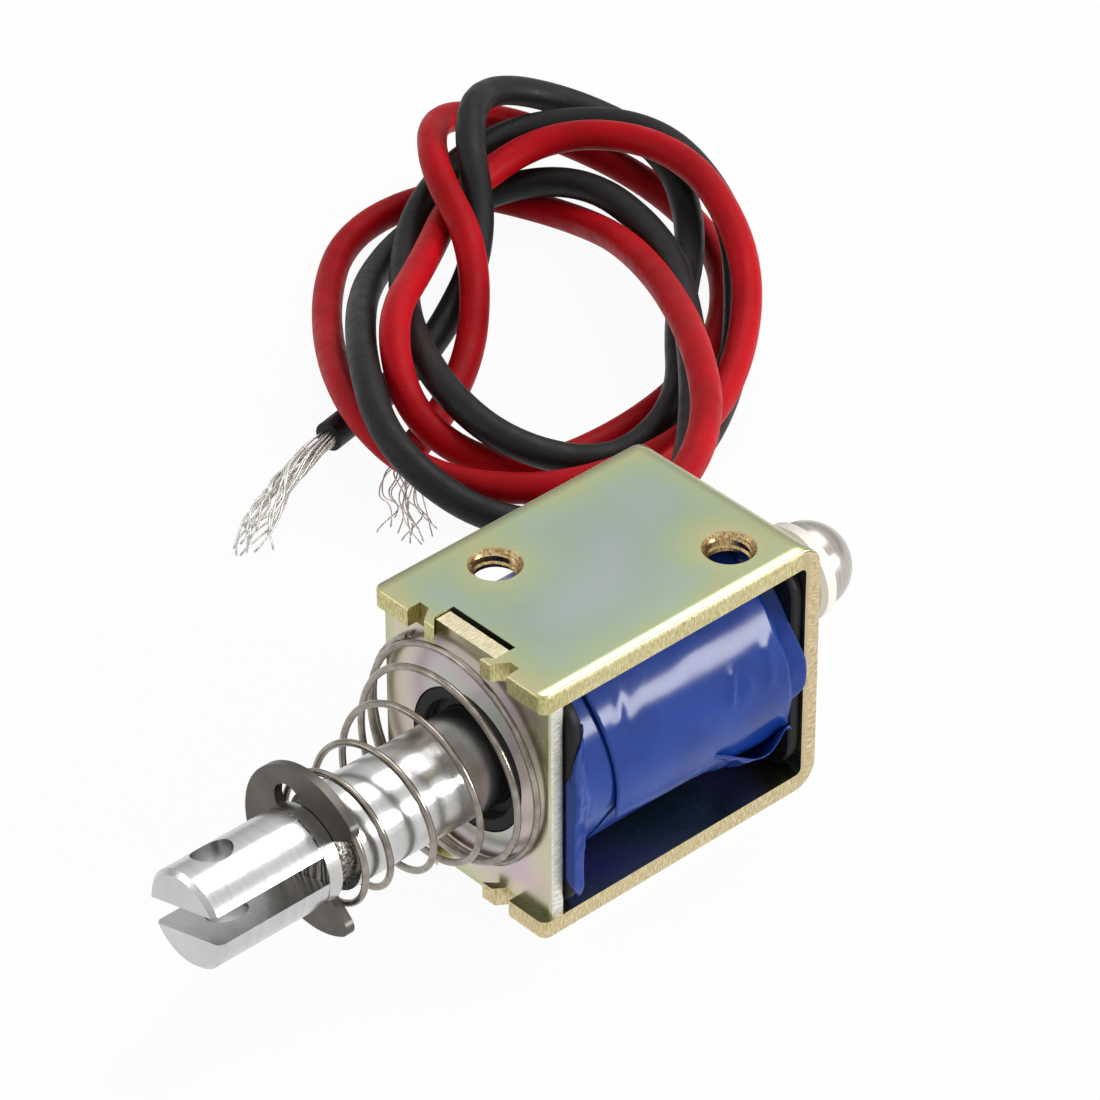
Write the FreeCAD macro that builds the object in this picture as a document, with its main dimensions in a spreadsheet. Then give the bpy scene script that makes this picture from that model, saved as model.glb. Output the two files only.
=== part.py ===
import FreeCAD, Part
import math
import os
import Sketcher
from FreeCAD import Placement, Rotation, Vector

# Open frame push pull solenoid.
# X is the width, Y runs along the axis towards the push head, Z is up.
# The origin is the middle of the yoke's underside.

doc = FreeCAD.newDocument("push_pull_solenoid")

# Driving sizes in millimetres and degrees, each with what it measures.
driving_sizes = {
    "yoke_length": (26.0, "front edge to rear face of the bent yoke"),
    "yoke_width": (17.2, "width of the steel strip"),
    "yoke_height": (21.0, "underside to top face"),
    "plate": (1.5, "thickness of the steel strip"),
    "bend_inside": (0.5, "inside radius of the two bends"),
    "edge_round": (0.25, "rolled edge left by the blanking die"),
    "corner_round": (0.7, "rounded corners of the strip at its open end"),
    "front_plate_thickness": (1.3, "thickness of the staked front plate"),
    "front_setback": (0.8, "front edge of the yoke to the front plate's face"),
    "front_plate_side_gap": (0.2, "front plate's side to the yoke's side"),
    "tab_width": (6.0, "width of the two staked tabs"),
    "tab_sink": (0.15, "tab's end below the outer face of the yoke"),
    "tab_gap": (0.1, "sideways clearance of a tab in its slot"),
    "slot_rear_gap": (0.4, "dark gap behind a tab in its slot"),
    "finger_width": (1.0, "width of a staking finger"),
    "finger_lean": (0.8, "how far a finger's tip is bent over the tab"),
    "relief_width": (0.9, "width of the notch beside a finger"),
    "relief_depth": (1.15, "depth of the notch beside a finger"),
    "thread_minor_radius": (1.65, "minor radius of the M4 mounting threads"),
    "thread_countersink": (0.3, "countersink of the mounting threads"),
    "mount_spacing_x": (9.5, "mounting threads apart across the width"),
    "mount_spacing_y": (13.0, "mounting threads apart along the axis"),
    "mount_centre_y": (1.3, "middle of the two threads behind the yoke's middle"),
    "plunger_radius": (3.71, "outside radius of the plunger"),
    "plunger_tip": (24.3, "plunger's tip ahead of the yoke's front edge"),
    "plunger_length": (33.3, "tip to rear end of the plunger"),
    "plunger_chamfer": (0.35, "chamfer at both ends of the plunger"),
    "plunger_turn": (-17.0, "how far the clevis stands turned about its axis"),
    "clevis_slot": (2.0, "gap between the two ears"),
    "clevis_depth": (9.5, "depth of the gap from the tip"),
    "pin_hole_radius": (1.5, "radius of the hole across the ears"),
    "pin_hole_setback": (3.4, "hole's centre behind the tip"),
    "groove_setback": (10.65, "clip groove's front wall behind the tip"),
    "groove_width": (1.65, "width of the clip groove"),
    "groove_radius": (3.0, "radius at the bottom of the clip groove"),
    "running_fit": (0.08, "radial clearance of what slides"),
    "seat_gap": (0.05, "clearance of what is seated and stays put"),
    "clip_radius": (6.4, "outside radius of the retaining clip"),
    "clip_thickness": (0.7, "thickness of the retaining clip"),
    "clip_opening": (5.0, "gap between the clip's two arms at its neck"),
    "clip_neck": (2.3, "neck of the gap ahead of the axis"),
    "clip_flare": (37.0, "how far each side of the gap opens outwards"),
    "clip_tip_round": (0.8, "rounded tips of the two arms"),
    "clip_recess_radius": (1.5, "radius of the recess each side of the middle tooth"),
    "clip_recess_centre": (3.5, "recess centre from the axis"),
    "clip_recess_turn": (125.0, "recess centre round from the opening"),
    "clip_turn": (5.0, "opening of the clip turned down from level"),
    "spring_wire": (0.6, "diameter of the spring's wire"),
    "spring_large": (8.25, "radius to the wire's centre at the plate"),
    "spring_small": (4.6, "radius to the wire's centre at the clip"),
    "spring_lift": (0.35, "large end of the spring above the axis"),
    "spring_aside": (0.4, "large end of the spring to the side of the axis"),
    "spring_turns": (5.75, "turns of the spring"),
    "bobbin_tube_wall": (0.85, "wall of the bobbin's tube"),
    "bobbin_flange": (1.0, "thickness of a bobbin flange"),
    "flange_overhang": (0.5, "flange's side beyond the yoke's side"),
    "bobbin_corner": (2.6, "rounded corner of a flange"),
    "bobbin_nose_radius": (5.45, "collar that fills the front plate's hole"),
    "bobbin_recess_radius": (4.5, "recess in the collar round the plunger"),
    "bobbin_recess_depth": (0.8, "depth of the recess"),
    "winding_clearance": (0.45, "wire winding's surface to the inside of the yoke"),
    "tape_thickness": (0.15, "thickness of a layer of tape"),
    "wrap_front_setback": (3.0, "outer tape's front edge behind the front flange"),
    "wrap_rear_setback": (0.7, "outer tape's rear edge ahead of the rear flange"),
    "stroke": (10.0, "plunger's travel from rest to the fixed core"),
    "pole_gap": (0.1, "gap left to the core at the end of the stroke"),
    "pole_nose_radius": (2.3, "flat end of the core's cone"),
    "pole_nose_length": (1.6, "length of the core's cone"),
    "core_spigot_radius": (2.6, "riveted end of the core in the yoke"),
    "rod_radius": (1.5, "radius of the push rod"),
    "rod_socket": (6.0, "depth of the rod's socket in the plunger"),
    "rod_fit": (0.1, "radial clearance of the rod in the core"),
    "head_radius": (3.3, "radius of the domed push head"),
    "head_base": (6.95, "head's flat side behind the yoke's rear face"),
    "head_rim": (0.25, "straight rim under the dome"),
    "head_socket": (2.0, "depth of the rod's socket in the head"),
    "washer_radius": (3.7, "outside radius of the nylon washer"),
    "washer_thickness": (1.5, "thickness of the nylon washer"),
    "washer_chamfer": (0.35, "chamfer of the nylon washer"),
    "lead_diameter": (2.4, "diameter over a lead's insulation"),
    "lead_bed": (0.5, "lead's surface beside the coil where it is taped down"),
    "lead_spread": (2.6, "the two leads apart where they are taped down"),
    "lead_start": (2.5, "leads' inner ends behind the yoke's middle"),
    "lead_exit": (9.0, "where the leads come out of the tape, behind the yoke's middle"),
    "splice_radius": (0.75, "radius of the soldered splice"),
    "splice_length": (5.0, "length of the soldered splice"),
    "strand_bundle": (0.75, "radius of the bare strands at the insulation"),
    "strand_fray": (1.1, "radius of the bare strands at their frayed ends"),
    "red_strand_length": (8.0, "bare length of the red lead's strands"),
    "black_strand_length": (13.0, "bare length of the black lead's strands"),
}


class Size:
    """A number that carries the sheet formula it comes from."""

    def __init__(self, number, formula):
        self.number = number
        self.formula = formula

    def __add__(self, other):
        return Size(self.number + number_of(other), f"({self.formula} + {formula_of(other)})")

    def __sub__(self, other):
        return Size(self.number - number_of(other), f"({self.formula} - {formula_of(other)})")

    def __mul__(self, other):
        return Size(self.number * number_of(other), f"({self.formula} * {formula_of(other)})")

    def __truediv__(self, other):
        return Size(self.number / number_of(other), f"({self.formula} / {formula_of(other)})")

    def __neg__(self):
        return Size(-self.number, f"(0 - {self.formula})")


def number_of(value):
    return value.number if isinstance(value, Size) else value


def formula_of(value):
    return value.formula if isinstance(value, Size) else str(value)


def fill_sheet():
    """Write the driving sizes into the document's sheet and hand them back by name."""
    sheet = doc.addObject("Spreadsheet::Sheet", "Sizes")
    by_name = {}
    for row, (name, (number, meaning)) in enumerate(driving_sizes.items(), start=1):
        sheet.set(f"A{row}", name)
        sheet.set(f"B{row}", str(number))
        sheet.set(f"C{row}", meaning)
        sheet.setAlias(f"B{row}", name)
        by_name[name] = Size(number, f"Sizes.{name}")
    doc.recompute()
    return by_name


size = fill_sheet()

# Places and sizes that several pieces share, along the axis unless the name says otherwise.
front_edge = -size["yoke_length"] / 2
rear_face = size["yoke_length"] / 2
rear_inside = rear_face - size["plate"]
axis_height = size["yoke_height"] / 2
plate_face = front_edge + size["front_setback"]
plate_back = plate_face + size["front_plate_thickness"]
roof = size["yoke_height"] - size["plate"]
tip = front_edge - size["plunger_tip"]
plunger_rear = tip + size["plunger_length"]
core_front = plunger_rear + size["stroke"] + size["pole_gap"]
groove_front = tip + size["groove_setback"]
clip_front = groove_front + size["seat_gap"]
clip_back = clip_front + size["clip_thickness"]
winding_front = plate_back + size["bobbin_flange"]
winding_rear = rear_inside - size["bobbin_flange"]
tube_radius = size["plunger_radius"] + size["running_fit"] + size["bobbin_tube_wall"]
winding_radius = axis_height - size["plate"] - size["winding_clearance"]
under_wrap_radius = winding_radius + size["tape_thickness"]
lead_side = under_wrap_radius + size["lead_diameter"] / 2 + size["lead_bed"]
head_face = rear_face + size["head_base"]
washer_front = head_face - size["washer_thickness"]


def bind(target, **properties):
    """Set each property now and tie it to its formula in the sheet."""
    for name, value in properties.items():
        setattr(target, name, number_of(value))
        if isinstance(value, Size):
            target.setExpression(name, value.formula)


def shift(target, x=None, y=None, z=None):
    """Tie the place of an object to the sheet."""
    for axis, value in (("x", x), ("y", y), ("z", z)):
        if value is not None:
            target.setExpression(f".Placement.Base.{axis}", formula_of(value))


def new_body(label):
    body = doc.addObject("PartDesign::Body", label)
    body.Label = label
    return body


def sketch_on(body, role, depth=None):
    """Open a sketch on one of the body's own planes, moved along the plane's normal by depth."""
    plane = next(item for item in body.Origin.OriginFeatures if item.Role == role)
    sketch = body.newObject("Sketcher::SketchObject", f"{body.Label}_sketch")
    sketch.AttachmentSupport = [(plane, "")]
    sketch.MapMode = "FlatFace"
    if depth is not None:
        sketch.setExpression("AttachmentOffset.Base.z", formula_of(depth))
    return sketch


def sketch_across(body, y):
    """Open a sketch that faces along the axis at the given place."""
    return sketch_on(body, "XZ_Plane", -y)


def hold(sketch, geometry, point, x, y):
    """Hold a point of the sketch at x and y."""
    for kind, axis, value in (("DistanceX", -2, x), ("DistanceY", -1, y)):
        if number_of(value) == 0:
            sketch.addConstraint(Sketcher.Constraint("PointOnObject", geometry, point, axis))
            continue
        constraint = Sketcher.Constraint(kind, -1, 1, geometry, point, number_of(value))
        index = sketch.addConstraint(constraint)
        if isinstance(value, Size):
            sketch.setExpression(f"Constraints[{index}]", value.formula)


def draw_outline(sketch, corners):
    """Closed outline of straight lines through the corners."""
    first = sketch.GeometryCount
    points = [Vector(number_of(x), number_of(y), 0) for x, y in corners]
    for start, end in zip(points, points[1:] + points[:1]):
        sketch.addGeometry(Part.LineSegment(start, end), False)
    for index, corner in enumerate(corners):
        following = first + (index + 1) % len(corners)
        sketch.addConstraint(Sketcher.Constraint("Coincident", first + index, 2, following, 1))
        hold(sketch, first + index, 1, *corner)


def draw_circle(sketch, x, y, radius):
    centre = Vector(number_of(x), number_of(y), 0)
    circle = Part.Circle(centre, Vector(0, 0, 1), number_of(radius))
    index = sketch.addGeometry(circle, False)
    hold(sketch, index, 3, x, y)
    constraint = sketch.addConstraint(Sketcher.Constraint("Radius", index, number_of(radius)))
    sketch.setExpression(f"Constraints[{constraint}]", formula_of(radius))


def mirrored(corners):
    """The same corners on the other side of the sketch's upright axis."""
    return [(-x, y) for x, y in reversed(corners)]


def pad(body, sketch, length, side="One side", reverse=False):
    feature = body.newObject("PartDesign::Pad", f"{body.Label}_pad")
    feature.Profile = sketch
    feature.SideType = side
    feature.Reversed = reverse
    bind(feature, Length=length)
    return feature


def pocket(body, sketch, length, side="One side", reverse=False):
    """Cut the sketch away and make sure that the cut met the solid."""
    doc.recompute()
    before = body.Shape.Volume
    feature = body.newObject("PartDesign::Pocket", f"{body.Label}_pocket")
    feature.Profile = sketch
    feature.SideType = side
    feature.Reversed = reverse
    bind(feature, Length=length)
    doc.recompute()
    if not body.Shape.Volume < before:
        raise RuntimeError(f"a pocket of {body.Label} cuts nothing")
    return feature


def turn(body, corners):
    """Turn an outline of radius and place along the axis about the axis."""
    sketch = sketch_on(body, "XY_Plane")
    draw_outline(sketch, corners)
    feature = body.newObject("PartDesign::Revolution", f"{body.Label}_turned")
    feature.Profile = sketch
    feature.ReferenceAxis = (sketch, ["V_Axis"])
    feature.Angle = 360
    shift(body, z=axis_height)
    return feature


def edges_where(shape, test):
    return [f"Edge{index}" for index, edge in enumerate(shape.Edges, start=1) if test(edge)]


def dress(body, kind, edge_size, test):
    """Round or chamfer the body's edges that pass the test."""
    doc.recompute()
    base = body.Tip
    names = edges_where(base.Shape, test)
    if not names:
        raise RuntimeError(f"no edge to dress on {body.Label}")
    feature = body.newObject(f"PartDesign::{kind}", f"{body.Label}_{kind.lower()}")
    feature.Base = (base, names)
    if kind == "Fillet":
        bind(feature, Radius=edge_size)
    else:
        bind(feature, Size=edge_size)
    doc.recompute()
    return feature


def near(value, wanted):
    return abs(value - number_of(wanted)) < 1e-4


def flat_along(edge, axis):
    """Whether an edge keeps one value along an axis, and which."""
    low, high = getattr(edge.BoundBox, f"{axis}Min"), getattr(edge.BoundBox, f"{axis}Max")
    return (high - low) < 1e-4, (low + high) / 2


def runs_along_x(edge, y, z):
    flat_y, at_y = flat_along(edge, "Y")
    flat_z, at_z = flat_along(edge, "Z")
    return flat_y and flat_z and near(at_y, y) and near(at_z, z)


def rod_along_axis(name, radius, start, length):
    """Round bar along the axis."""
    bar = doc.addObject("Part::Cylinder", name)
    bind(bar, Radius=radius, Height=length)
    bar.Placement = Placement(Vector(), Rotation(Vector(1, 0, 0), -90))
    shift(bar, x=0, y=start, z=axis_height)
    return bar


def cut_away(label, base, tool):
    result = doc.addObject("Part::Cut", label)
    result.Label = label
    result.Base = base
    result.Tool = tool
    return result


def tube_along_axis(label, outside, inside, start, length):
    """Straight ring along the axis."""
    outer = rod_along_axis(f"{label}_outer", outside, start, length)
    inner = rod_along_axis(f"{label}_inner", inside, start, length)
    return cut_away(label, outer, inner)


# Share of the shorter run that an arc takes up on each side of a corner.
lead_arcs = 0.45
full_arcs = 0.49


def rounded_line(points, arc_share):
    """Straight runs through the points, joined by tangent arcs, and the radii of the arcs."""
    edges = []
    radii = []
    run_start = points[0]
    for before, corner, after in zip(points, points[1:], points[2:]):
        back = before - corner
        onward = after - corner
        half_turn = (math.pi - back.getAngle(onward)) / 2
        cut = arc_share * min(back.Length, onward.Length)
        radius = cut / math.tan(half_turn)
        back.normalize()
        onward.normalize()
        inward = (back + onward).normalize()
        arc_start = corner + back * cut
        arc_end = corner + onward * cut
        arc_middle = corner + inward * (math.hypot(radius, cut) - radius)
        edges.append(Part.LineSegment(run_start, arc_start).toShape())
        edges.append(Part.Arc(arc_start, arc_middle, arc_end).toShape())
        radii.append(radius)
        run_start = arc_end
    edges.append(Part.LineSegment(run_start, points[-1]).toShape())
    return Part.Wire(edges), radii


def make_yoke():
    """Strip bent to a U, with staking slots at the front and two tapped holes in the roof."""
    body = new_body("yoke_frame")
    strip = sketch_on(body, "YZ_Plane")
    height = size["yoke_height"]
    draw_outline(strip, [
        (front_edge, 0), (rear_face, 0), (rear_face, height), (front_edge, height),
        (front_edge, roof), (rear_inside, roof), (rear_inside, size["plate"]), (front_edge, size["plate"]),
    ])
    pad(body, strip, size["yoke_width"], side="Symmetric")
    outer_radius = size["bend_inside"] + size["plate"]
    dress(body, "Fillet", outer_radius,
          lambda edge: runs_along_x(edge, rear_face, 0) or runs_along_x(edge, rear_face, height))
    dress(body, "Fillet", size["bend_inside"],
          lambda edge: runs_along_x(edge, rear_inside, roof)
          or runs_along_x(edge, rear_inside, size["plate"]))

    def strip_corner(edge):
        flat_x, _ = flat_along(edge, "X")
        flat_y, at_y = flat_along(edge, "Y")
        return flat_x and flat_y and near(at_y, front_edge)

    dress(body, "Fillet", size["corner_round"], strip_corner)

    def on_outer_side(edge):
        flat_x, at_x = flat_along(edge, "X")
        middle = edge.valueAt((edge.FirstParameter + edge.LastParameter) / 2)
        on_roof = near(middle.z, height)
        on_floor = near(middle.z, 0)
        on_rear = near(middle.y, rear_face)
        bend_centre_y = number_of(rear_face - outer_radius)
        from_low_bend = math.hypot(middle.y - bend_centre_y, middle.z - number_of(outer_radius))
        high_bend_z = number_of(height - outer_radius)
        from_high_bend = math.hypot(middle.y - bend_centre_y, middle.z - high_bend_z)
        on_bend = near(from_low_bend, outer_radius) or near(from_high_bend, outer_radius)
        return flat_x and near(abs(at_x), size["yoke_width"] / 2) and (on_roof or on_floor or on_rear or on_bend)

    dress(body, "Fillet", size["edge_round"], on_outer_side)

    slots = sketch_on(body, "XY_Plane")
    overcut = 1.0
    mouth = front_edge - overcut
    half_slot = size["tab_width"] / 2 + size["tab_gap"]
    finger_root = plate_face - size["seat_gap"]
    slot_end = plate_back + size["slot_rear_gap"]
    lean = size["finger_lean"]
    half = [
        (half_slot - lean, mouth), (half_slot - lean, front_edge),
        (half_slot, finger_root), (half_slot, slot_end),
    ]
    draw_outline(slots, half + mirrored(half))
    finger_outside = half_slot + size["finger_width"]
    relief_outside = finger_outside + size["relief_width"]
    relief_end = front_edge + size["relief_depth"]
    relief = [
        (finger_outside - lean, mouth), (relief_outside, mouth),
        (relief_outside, relief_end), (finger_outside, relief_end), (finger_outside - lean, front_edge),
    ]
    draw_outline(slots, relief)
    draw_outline(slots, mirrored(relief))
    pocket(body, slots, size["yoke_height"] * 2, side="Symmetric")

    core_hole = sketch_across(body, rear_inside)
    draw_circle(core_hole, 0, axis_height, size["core_spigot_radius"] + size["seat_gap"])
    pocket(body, core_hole, size["plate"] * 2)

    threads = sketch_on(body, "XY_Plane", height)
    for side in (-1, 1):
        draw_circle(threads, size["mount_spacing_x"] * (side / 2),
                    size["mount_centre_y"] + size["mount_spacing_y"] * (side / 2),
                    size["thread_minor_radius"])
    pocket(body, threads, size["plate"] * 2)

    def thread_mouth(edge):
        flat_z, at_z = flat_along(edge, "Z")
        return flat_z and near(at_z, height) and near(edge.BoundBox.XLength, size["thread_minor_radius"] * 2)

    dress(body, "Chamfer", size["thread_countersink"], thread_mouth)


def make_front_plate():
    """Flat pole plate whose two tabs are staked into the yoke's slots."""
    body = new_body("front_plate")
    half_width = size["yoke_width"] / 2 - size["front_plate_side_gap"]
    half_tab = size["tab_width"] / 2
    low_end = size["tab_sink"]
    high_end = size["yoke_height"] - size["tab_sink"]
    outline = sketch_across(body, plate_face)
    right_side = [
        (half_tab, low_end), (half_tab, size["plate"]), (half_width, size["plate"]),
        (half_width, roof), (half_tab, roof), (half_tab, high_end),
    ]
    draw_outline(outline, right_side + mirrored(right_side))
    pad(body, outline, size["front_plate_thickness"], reverse=True)
    hole = sketch_across(body, plate_face)
    draw_circle(hole, 0, axis_height, size["bobbin_nose_radius"] + size["seat_gap"])
    pocket(body, hole, size["front_plate_thickness"] * 2)

    def outer_upright(edge):
        flat_x, at_x = flat_along(edge, "X")
        return flat_x and near(abs(at_x), half_width) and edge.BoundBox.ZLength > number_of(roof) / 2

    dress(body, "Fillet", size["edge_round"], outer_upright)


def make_bobbin():
    """Moulded bobbin: tube, two flanges and a collar that sits in the front plate's hole."""
    body = new_body("bobbin")
    tube = sketch_across(body, plate_back)
    draw_circle(tube, 0, axis_height, tube_radius)
    pad(body, tube, rear_inside - plate_back, reverse=True)
    half_width = size["yoke_width"] / 2 + size["flange_overhang"]
    low = size["plate"] + size["seat_gap"]
    high = roof - size["seat_gap"]
    for flange_front in (plate_back, winding_rear):
        flange = sketch_across(body, flange_front)
        draw_outline(flange, [(half_width, low), (half_width, high), (-half_width, high), (-half_width, low)])
        pad(body, flange, size["bobbin_flange"], reverse=True)
    collar = sketch_across(body, plate_face)
    draw_circle(collar, 0, axis_height, size["bobbin_nose_radius"])
    pad(body, collar, size["front_plate_thickness"], reverse=True)

    def flange_corner(edge):
        flat_x, at_x = flat_along(edge, "X")
        flat_z, at_z = flat_along(edge, "Z")
        return flat_x and flat_z and near(abs(at_x), half_width)

    dress(body, "Fillet", size["bobbin_corner"], flange_corner)
    recess = sketch_across(body, plate_face)
    draw_circle(recess, 0, axis_height, size["bobbin_recess_radius"])
    pocket(body, recess, size["bobbin_recess_depth"])
    bore = sketch_across(body, plate_face)
    draw_circle(bore, 0, axis_height, size["plunger_radius"] + size["running_fit"])
    pocket(body, bore, size["yoke_length"])


def make_winding():
    """Enamelled copper wire, wound full between the flanges."""
    tube_along_axis("coil_winding", winding_radius, tube_radius + size["seat_gap"],
                    winding_front, winding_rear - winding_front)


def make_under_wrap():
    """First layer of tape, as wide as the winding."""
    tube_along_axis("tape_under_wrap", under_wrap_radius, winding_radius,
                    winding_front, winding_rear - winding_front)


def belt_outline(extra):
    """Wire round the winding and the two leads beside it, standing off them by extra."""
    axis = axis_height.number
    coil_radius = under_wrap_radius.number + extra
    lead_radius = size["lead_diameter"].number / 2 + extra
    side = -lead_side.number
    rise = size["lead_spread"].number / 2
    reach = math.hypot(side, rise)
    lead_angle = math.atan2(rise, side)
    touch_angle = lead_angle - math.acos((coil_radius - lead_radius) / reach)

    def on_circle(x, z, radius, angle):
        return Vector(x + radius * math.cos(angle), 0, axis + z + radius * math.sin(angle))

    coil_top = on_circle(0, 0, coil_radius, touch_angle)
    lead_top = on_circle(side, rise, lead_radius, touch_angle)
    lead_shoulder = on_circle(side, rise, lead_radius, (touch_angle + math.pi) / 2)
    lead_flank = on_circle(side, rise, lead_radius, math.pi)

    def below(point):
        return Vector(point.x, 0, 2 * axis - point.z)

    edges = [
        Part.Arc(below(coil_top), Vector(coil_radius, 0, axis), coil_top),
        Part.LineSegment(coil_top, lead_top),
        Part.Arc(lead_top, lead_shoulder, lead_flank),
        Part.LineSegment(lead_flank, below(lead_flank)),
        Part.Arc(below(lead_flank), below(lead_shoulder), below(lead_top)),
        Part.LineSegment(below(lead_top), below(coil_top)),
    ]
    return Part.Wire([edge.toShape() for edge in edges])


def make_outer_wrap():
    """Narrower outer layers of tape, which also tie down the splices and the leads."""
    gap = size["seat_gap"].number
    start = (winding_front + size["wrap_front_setback"]).number
    end = (winding_rear - size["wrap_rear_setback"]).number
    outside = Part.Face(belt_outline(gap + size["tape_thickness"].number))
    inside = Part.Face(belt_outline(gap))
    wrap = doc.addObject("Part::Feature", "tape_outer_wrap")
    wrap.Label = "tape_outer_wrap"
    wrap.Shape = outside.cut(inside).extrude(Vector(0, end - start, 0))
    wrap.Placement = Placement(Vector(0, start, 0), Rotation())


def make_core():
    """Fixed core with a conical face, riveted into the yoke and drilled for the push rod."""
    body = new_body("fixed_core")
    bore = size["rod_radius"] + size["rod_fit"]
    turn(body, [
        (bore, core_front), (size["pole_nose_radius"], core_front),
        (size["plunger_radius"], core_front + size["pole_nose_length"]),
        (size["plunger_radius"], rear_inside), (size["core_spigot_radius"], rear_inside),
        (size["core_spigot_radius"], rear_face), (bore, rear_face),
    ])


def make_plunger():
    """Turned plunger with clevis, cross hole, clip groove, hollow cone and rod socket."""
    body = new_body("plunger")
    radius = size["plunger_radius"]
    chamfer = size["plunger_chamfer"]
    cone_end = plunger_rear - size["pole_nose_length"]
    socket_end = cone_end - size["rod_socket"]
    groove_rear = groove_front + size["groove_width"]
    turn(body, [
        (0, tip), (radius - chamfer, tip), (radius, tip + chamfer),
        (radius, groove_front), (size["groove_radius"], groove_front),
        (size["groove_radius"], groove_rear), (radius, groove_rear),
        (radius, plunger_rear - chamfer), (radius - chamfer, plunger_rear),
        (size["pole_nose_radius"] + size["pole_nose_length"] * 0.6, plunger_rear),
        (size["pole_nose_radius"], cone_end), (size["rod_radius"], cone_end),
        (size["rod_radius"], socket_end), (0, socket_end),
    ])
    slot = sketch_on(body, "YZ_Plane")
    half_slot = size["clevis_slot"] / 2
    mouth = tip - size["plunger_chamfer"]
    slot_end = tip + size["clevis_depth"]
    draw_outline(slot, [(mouth, -half_slot), (slot_end, -half_slot), (slot_end, half_slot), (mouth, half_slot)])
    pocket(body, slot, radius * 3, side="Symmetric")
    cross = sketch_on(body, "XY_Plane")
    draw_circle(cross, 0, tip + size["pin_hole_setback"], size["pin_hole_radius"])
    pocket(body, cross, radius * 3, side="Symmetric")
    body.Placement = Placement(Vector(), Rotation(Vector(0, 1, 0), size["plunger_turn"].number))
    shift(body, z=axis_height)
    body.setExpression(".Placement.Rotation.Angle", f"{size['plunger_turn'].formula} * 1 deg")


def make_clip():
    """Retaining clip with two arms, a middle tooth and a recess each side of the tooth."""
    disc = doc.addObject("Part::Cylinder", "clip_disc")
    bind(disc, Radius=size["clip_radius"], Height=size["clip_thickness"])
    bore = doc.addObject("Part::Cylinder", "clip_bore")
    bind(bore, Radius=size["groove_radius"] + size["running_fit"], Height=size["clip_thickness"])
    opening = doc.addObject("Part::Box", "clip_opening")
    bind(opening, Length=size["clip_radius"], Width=size["clip_opening"], Height=size["clip_thickness"])
    shift(opening, y=-size["clip_opening"] / 2)
    tools = [bore, opening]
    for side in (-1, 1):
        flare = doc.addObject("Part::Box", "clip_flare")
        bind(flare, Length=size["clip_radius"], Width=size["clip_opening"], Height=size["clip_thickness"])
        opening_half = size["clip_opening"].number / 2
        neck = Vector(size["clip_neck"].number, side * opening_half, 0)
        corner = Vector(0, (1 + side) * opening_half, 0)
        spread = Rotation(Vector(0, 0, 1), side * size["clip_flare"].number)
        flare.Placement = Placement(neck - spread.multVec(corner), spread)
        tools.append(flare)
        recess = doc.addObject("Part::Cylinder", "clip_recess")
        bind(recess, Radius=size["clip_recess_radius"], Height=size["clip_thickness"])
        centre = size["clip_recess_centre"].formula
        angle = size["clip_recess_turn"].formula
        recess.setExpression(".Placement.Base.x", f"{centre} * cos({angle} * 1 deg)")
        recess.setExpression(".Placement.Base.y", f"{side} * {centre} * sin({angle} * 1 deg)")
        tools.append(recess)
    removed = doc.addObject("Part::MultiFuse", "clip_removed")
    removed.Shapes = tools
    blank = cut_away("clip_blank", disc, removed)
    doc.recompute()

    def arm_tip(edge):
        flat_x, at_x = flat_along(edge, "X")
        flat_y, at_y = flat_along(edge, "Y")
        return flat_x and flat_y and near(math.hypot(at_x, at_y), size["clip_radius"])

    clip = doc.addObject("Part::Fillet", "e_clip")
    clip.Label = "e_clip"
    clip.Base = blank
    tip_round = size["clip_tip_round"].number
    clip.Edges = [
        (index, tip_round, tip_round)
        for index, edge in enumerate(blank.Shape.Edges, start=1) if arm_tip(edge)
    ]
    to_axis = Rotation(Vector(1, 0, 0), -90)
    droop = Rotation(Vector(0, 1, 0), size["clip_turn"].number)
    clip.Placement = Placement(Vector(), droop.multiply(to_axis))
    shift(clip, x=0, y=clip_front, z=axis_height)


def make_spring():
    """Conical return spring, wound closer towards the front plate, where it also sags off centre."""
    wire_radius = size["spring_wire"].number / 2
    small_end = clip_back.number + wire_radius + size["seat_gap"].number
    large_end = plate_face.number - wire_radius - size["seat_gap"].number
    corners_per_turn = 8
    turns = size["spring_turns"].number
    to_corner = 1 / math.cos(math.pi / corners_per_turn)
    # How sharply the turns close up at the plate, set off from the clip, and flare with their height.
    closing_up = 2.2
    setting_off = 1.8
    flaring = 1.9
    points = []
    for index in range(round(turns * corners_per_turn) + 1):
        turn_number = index / corners_per_turn
        angle = 2 * math.pi * turn_number
        climb = (1 - (1 - turn_number / turns) ** closing_up) ** setting_off
        flare = climb ** flaring
        radius = size["spring_small"].number * (1 - flare) + size["spring_large"].number * flare
        points.append(Vector(
            radius * to_corner * math.sin(angle) - size["spring_aside"].number * climb,
            small_end + (large_end - small_end) * climb,
            radius * to_corner * math.cos(angle) + size["spring_lift"].number * climb,
        ))
    line, _ = rounded_line(points, full_arcs)
    section = Part.Wire(Part.makeCircle(wire_radius, points[0], points[1] - points[0]))
    spring = doc.addObject("Part::Feature", "return_spring")
    spring.Label = "return_spring"
    spring.Shape = line.makePipeShell([section], True, True)
    shift(spring, z=axis_height)


def make_rod():
    """Push rod pressed into the plunger and the head."""
    start = plunger_rear - size["pole_nose_length"] - size["rod_socket"]
    end = head_face + size["head_socket"]
    rod = rod_along_axis("push_rod", size["rod_radius"], start, end - start)
    rod.Label = "push_rod"


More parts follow.
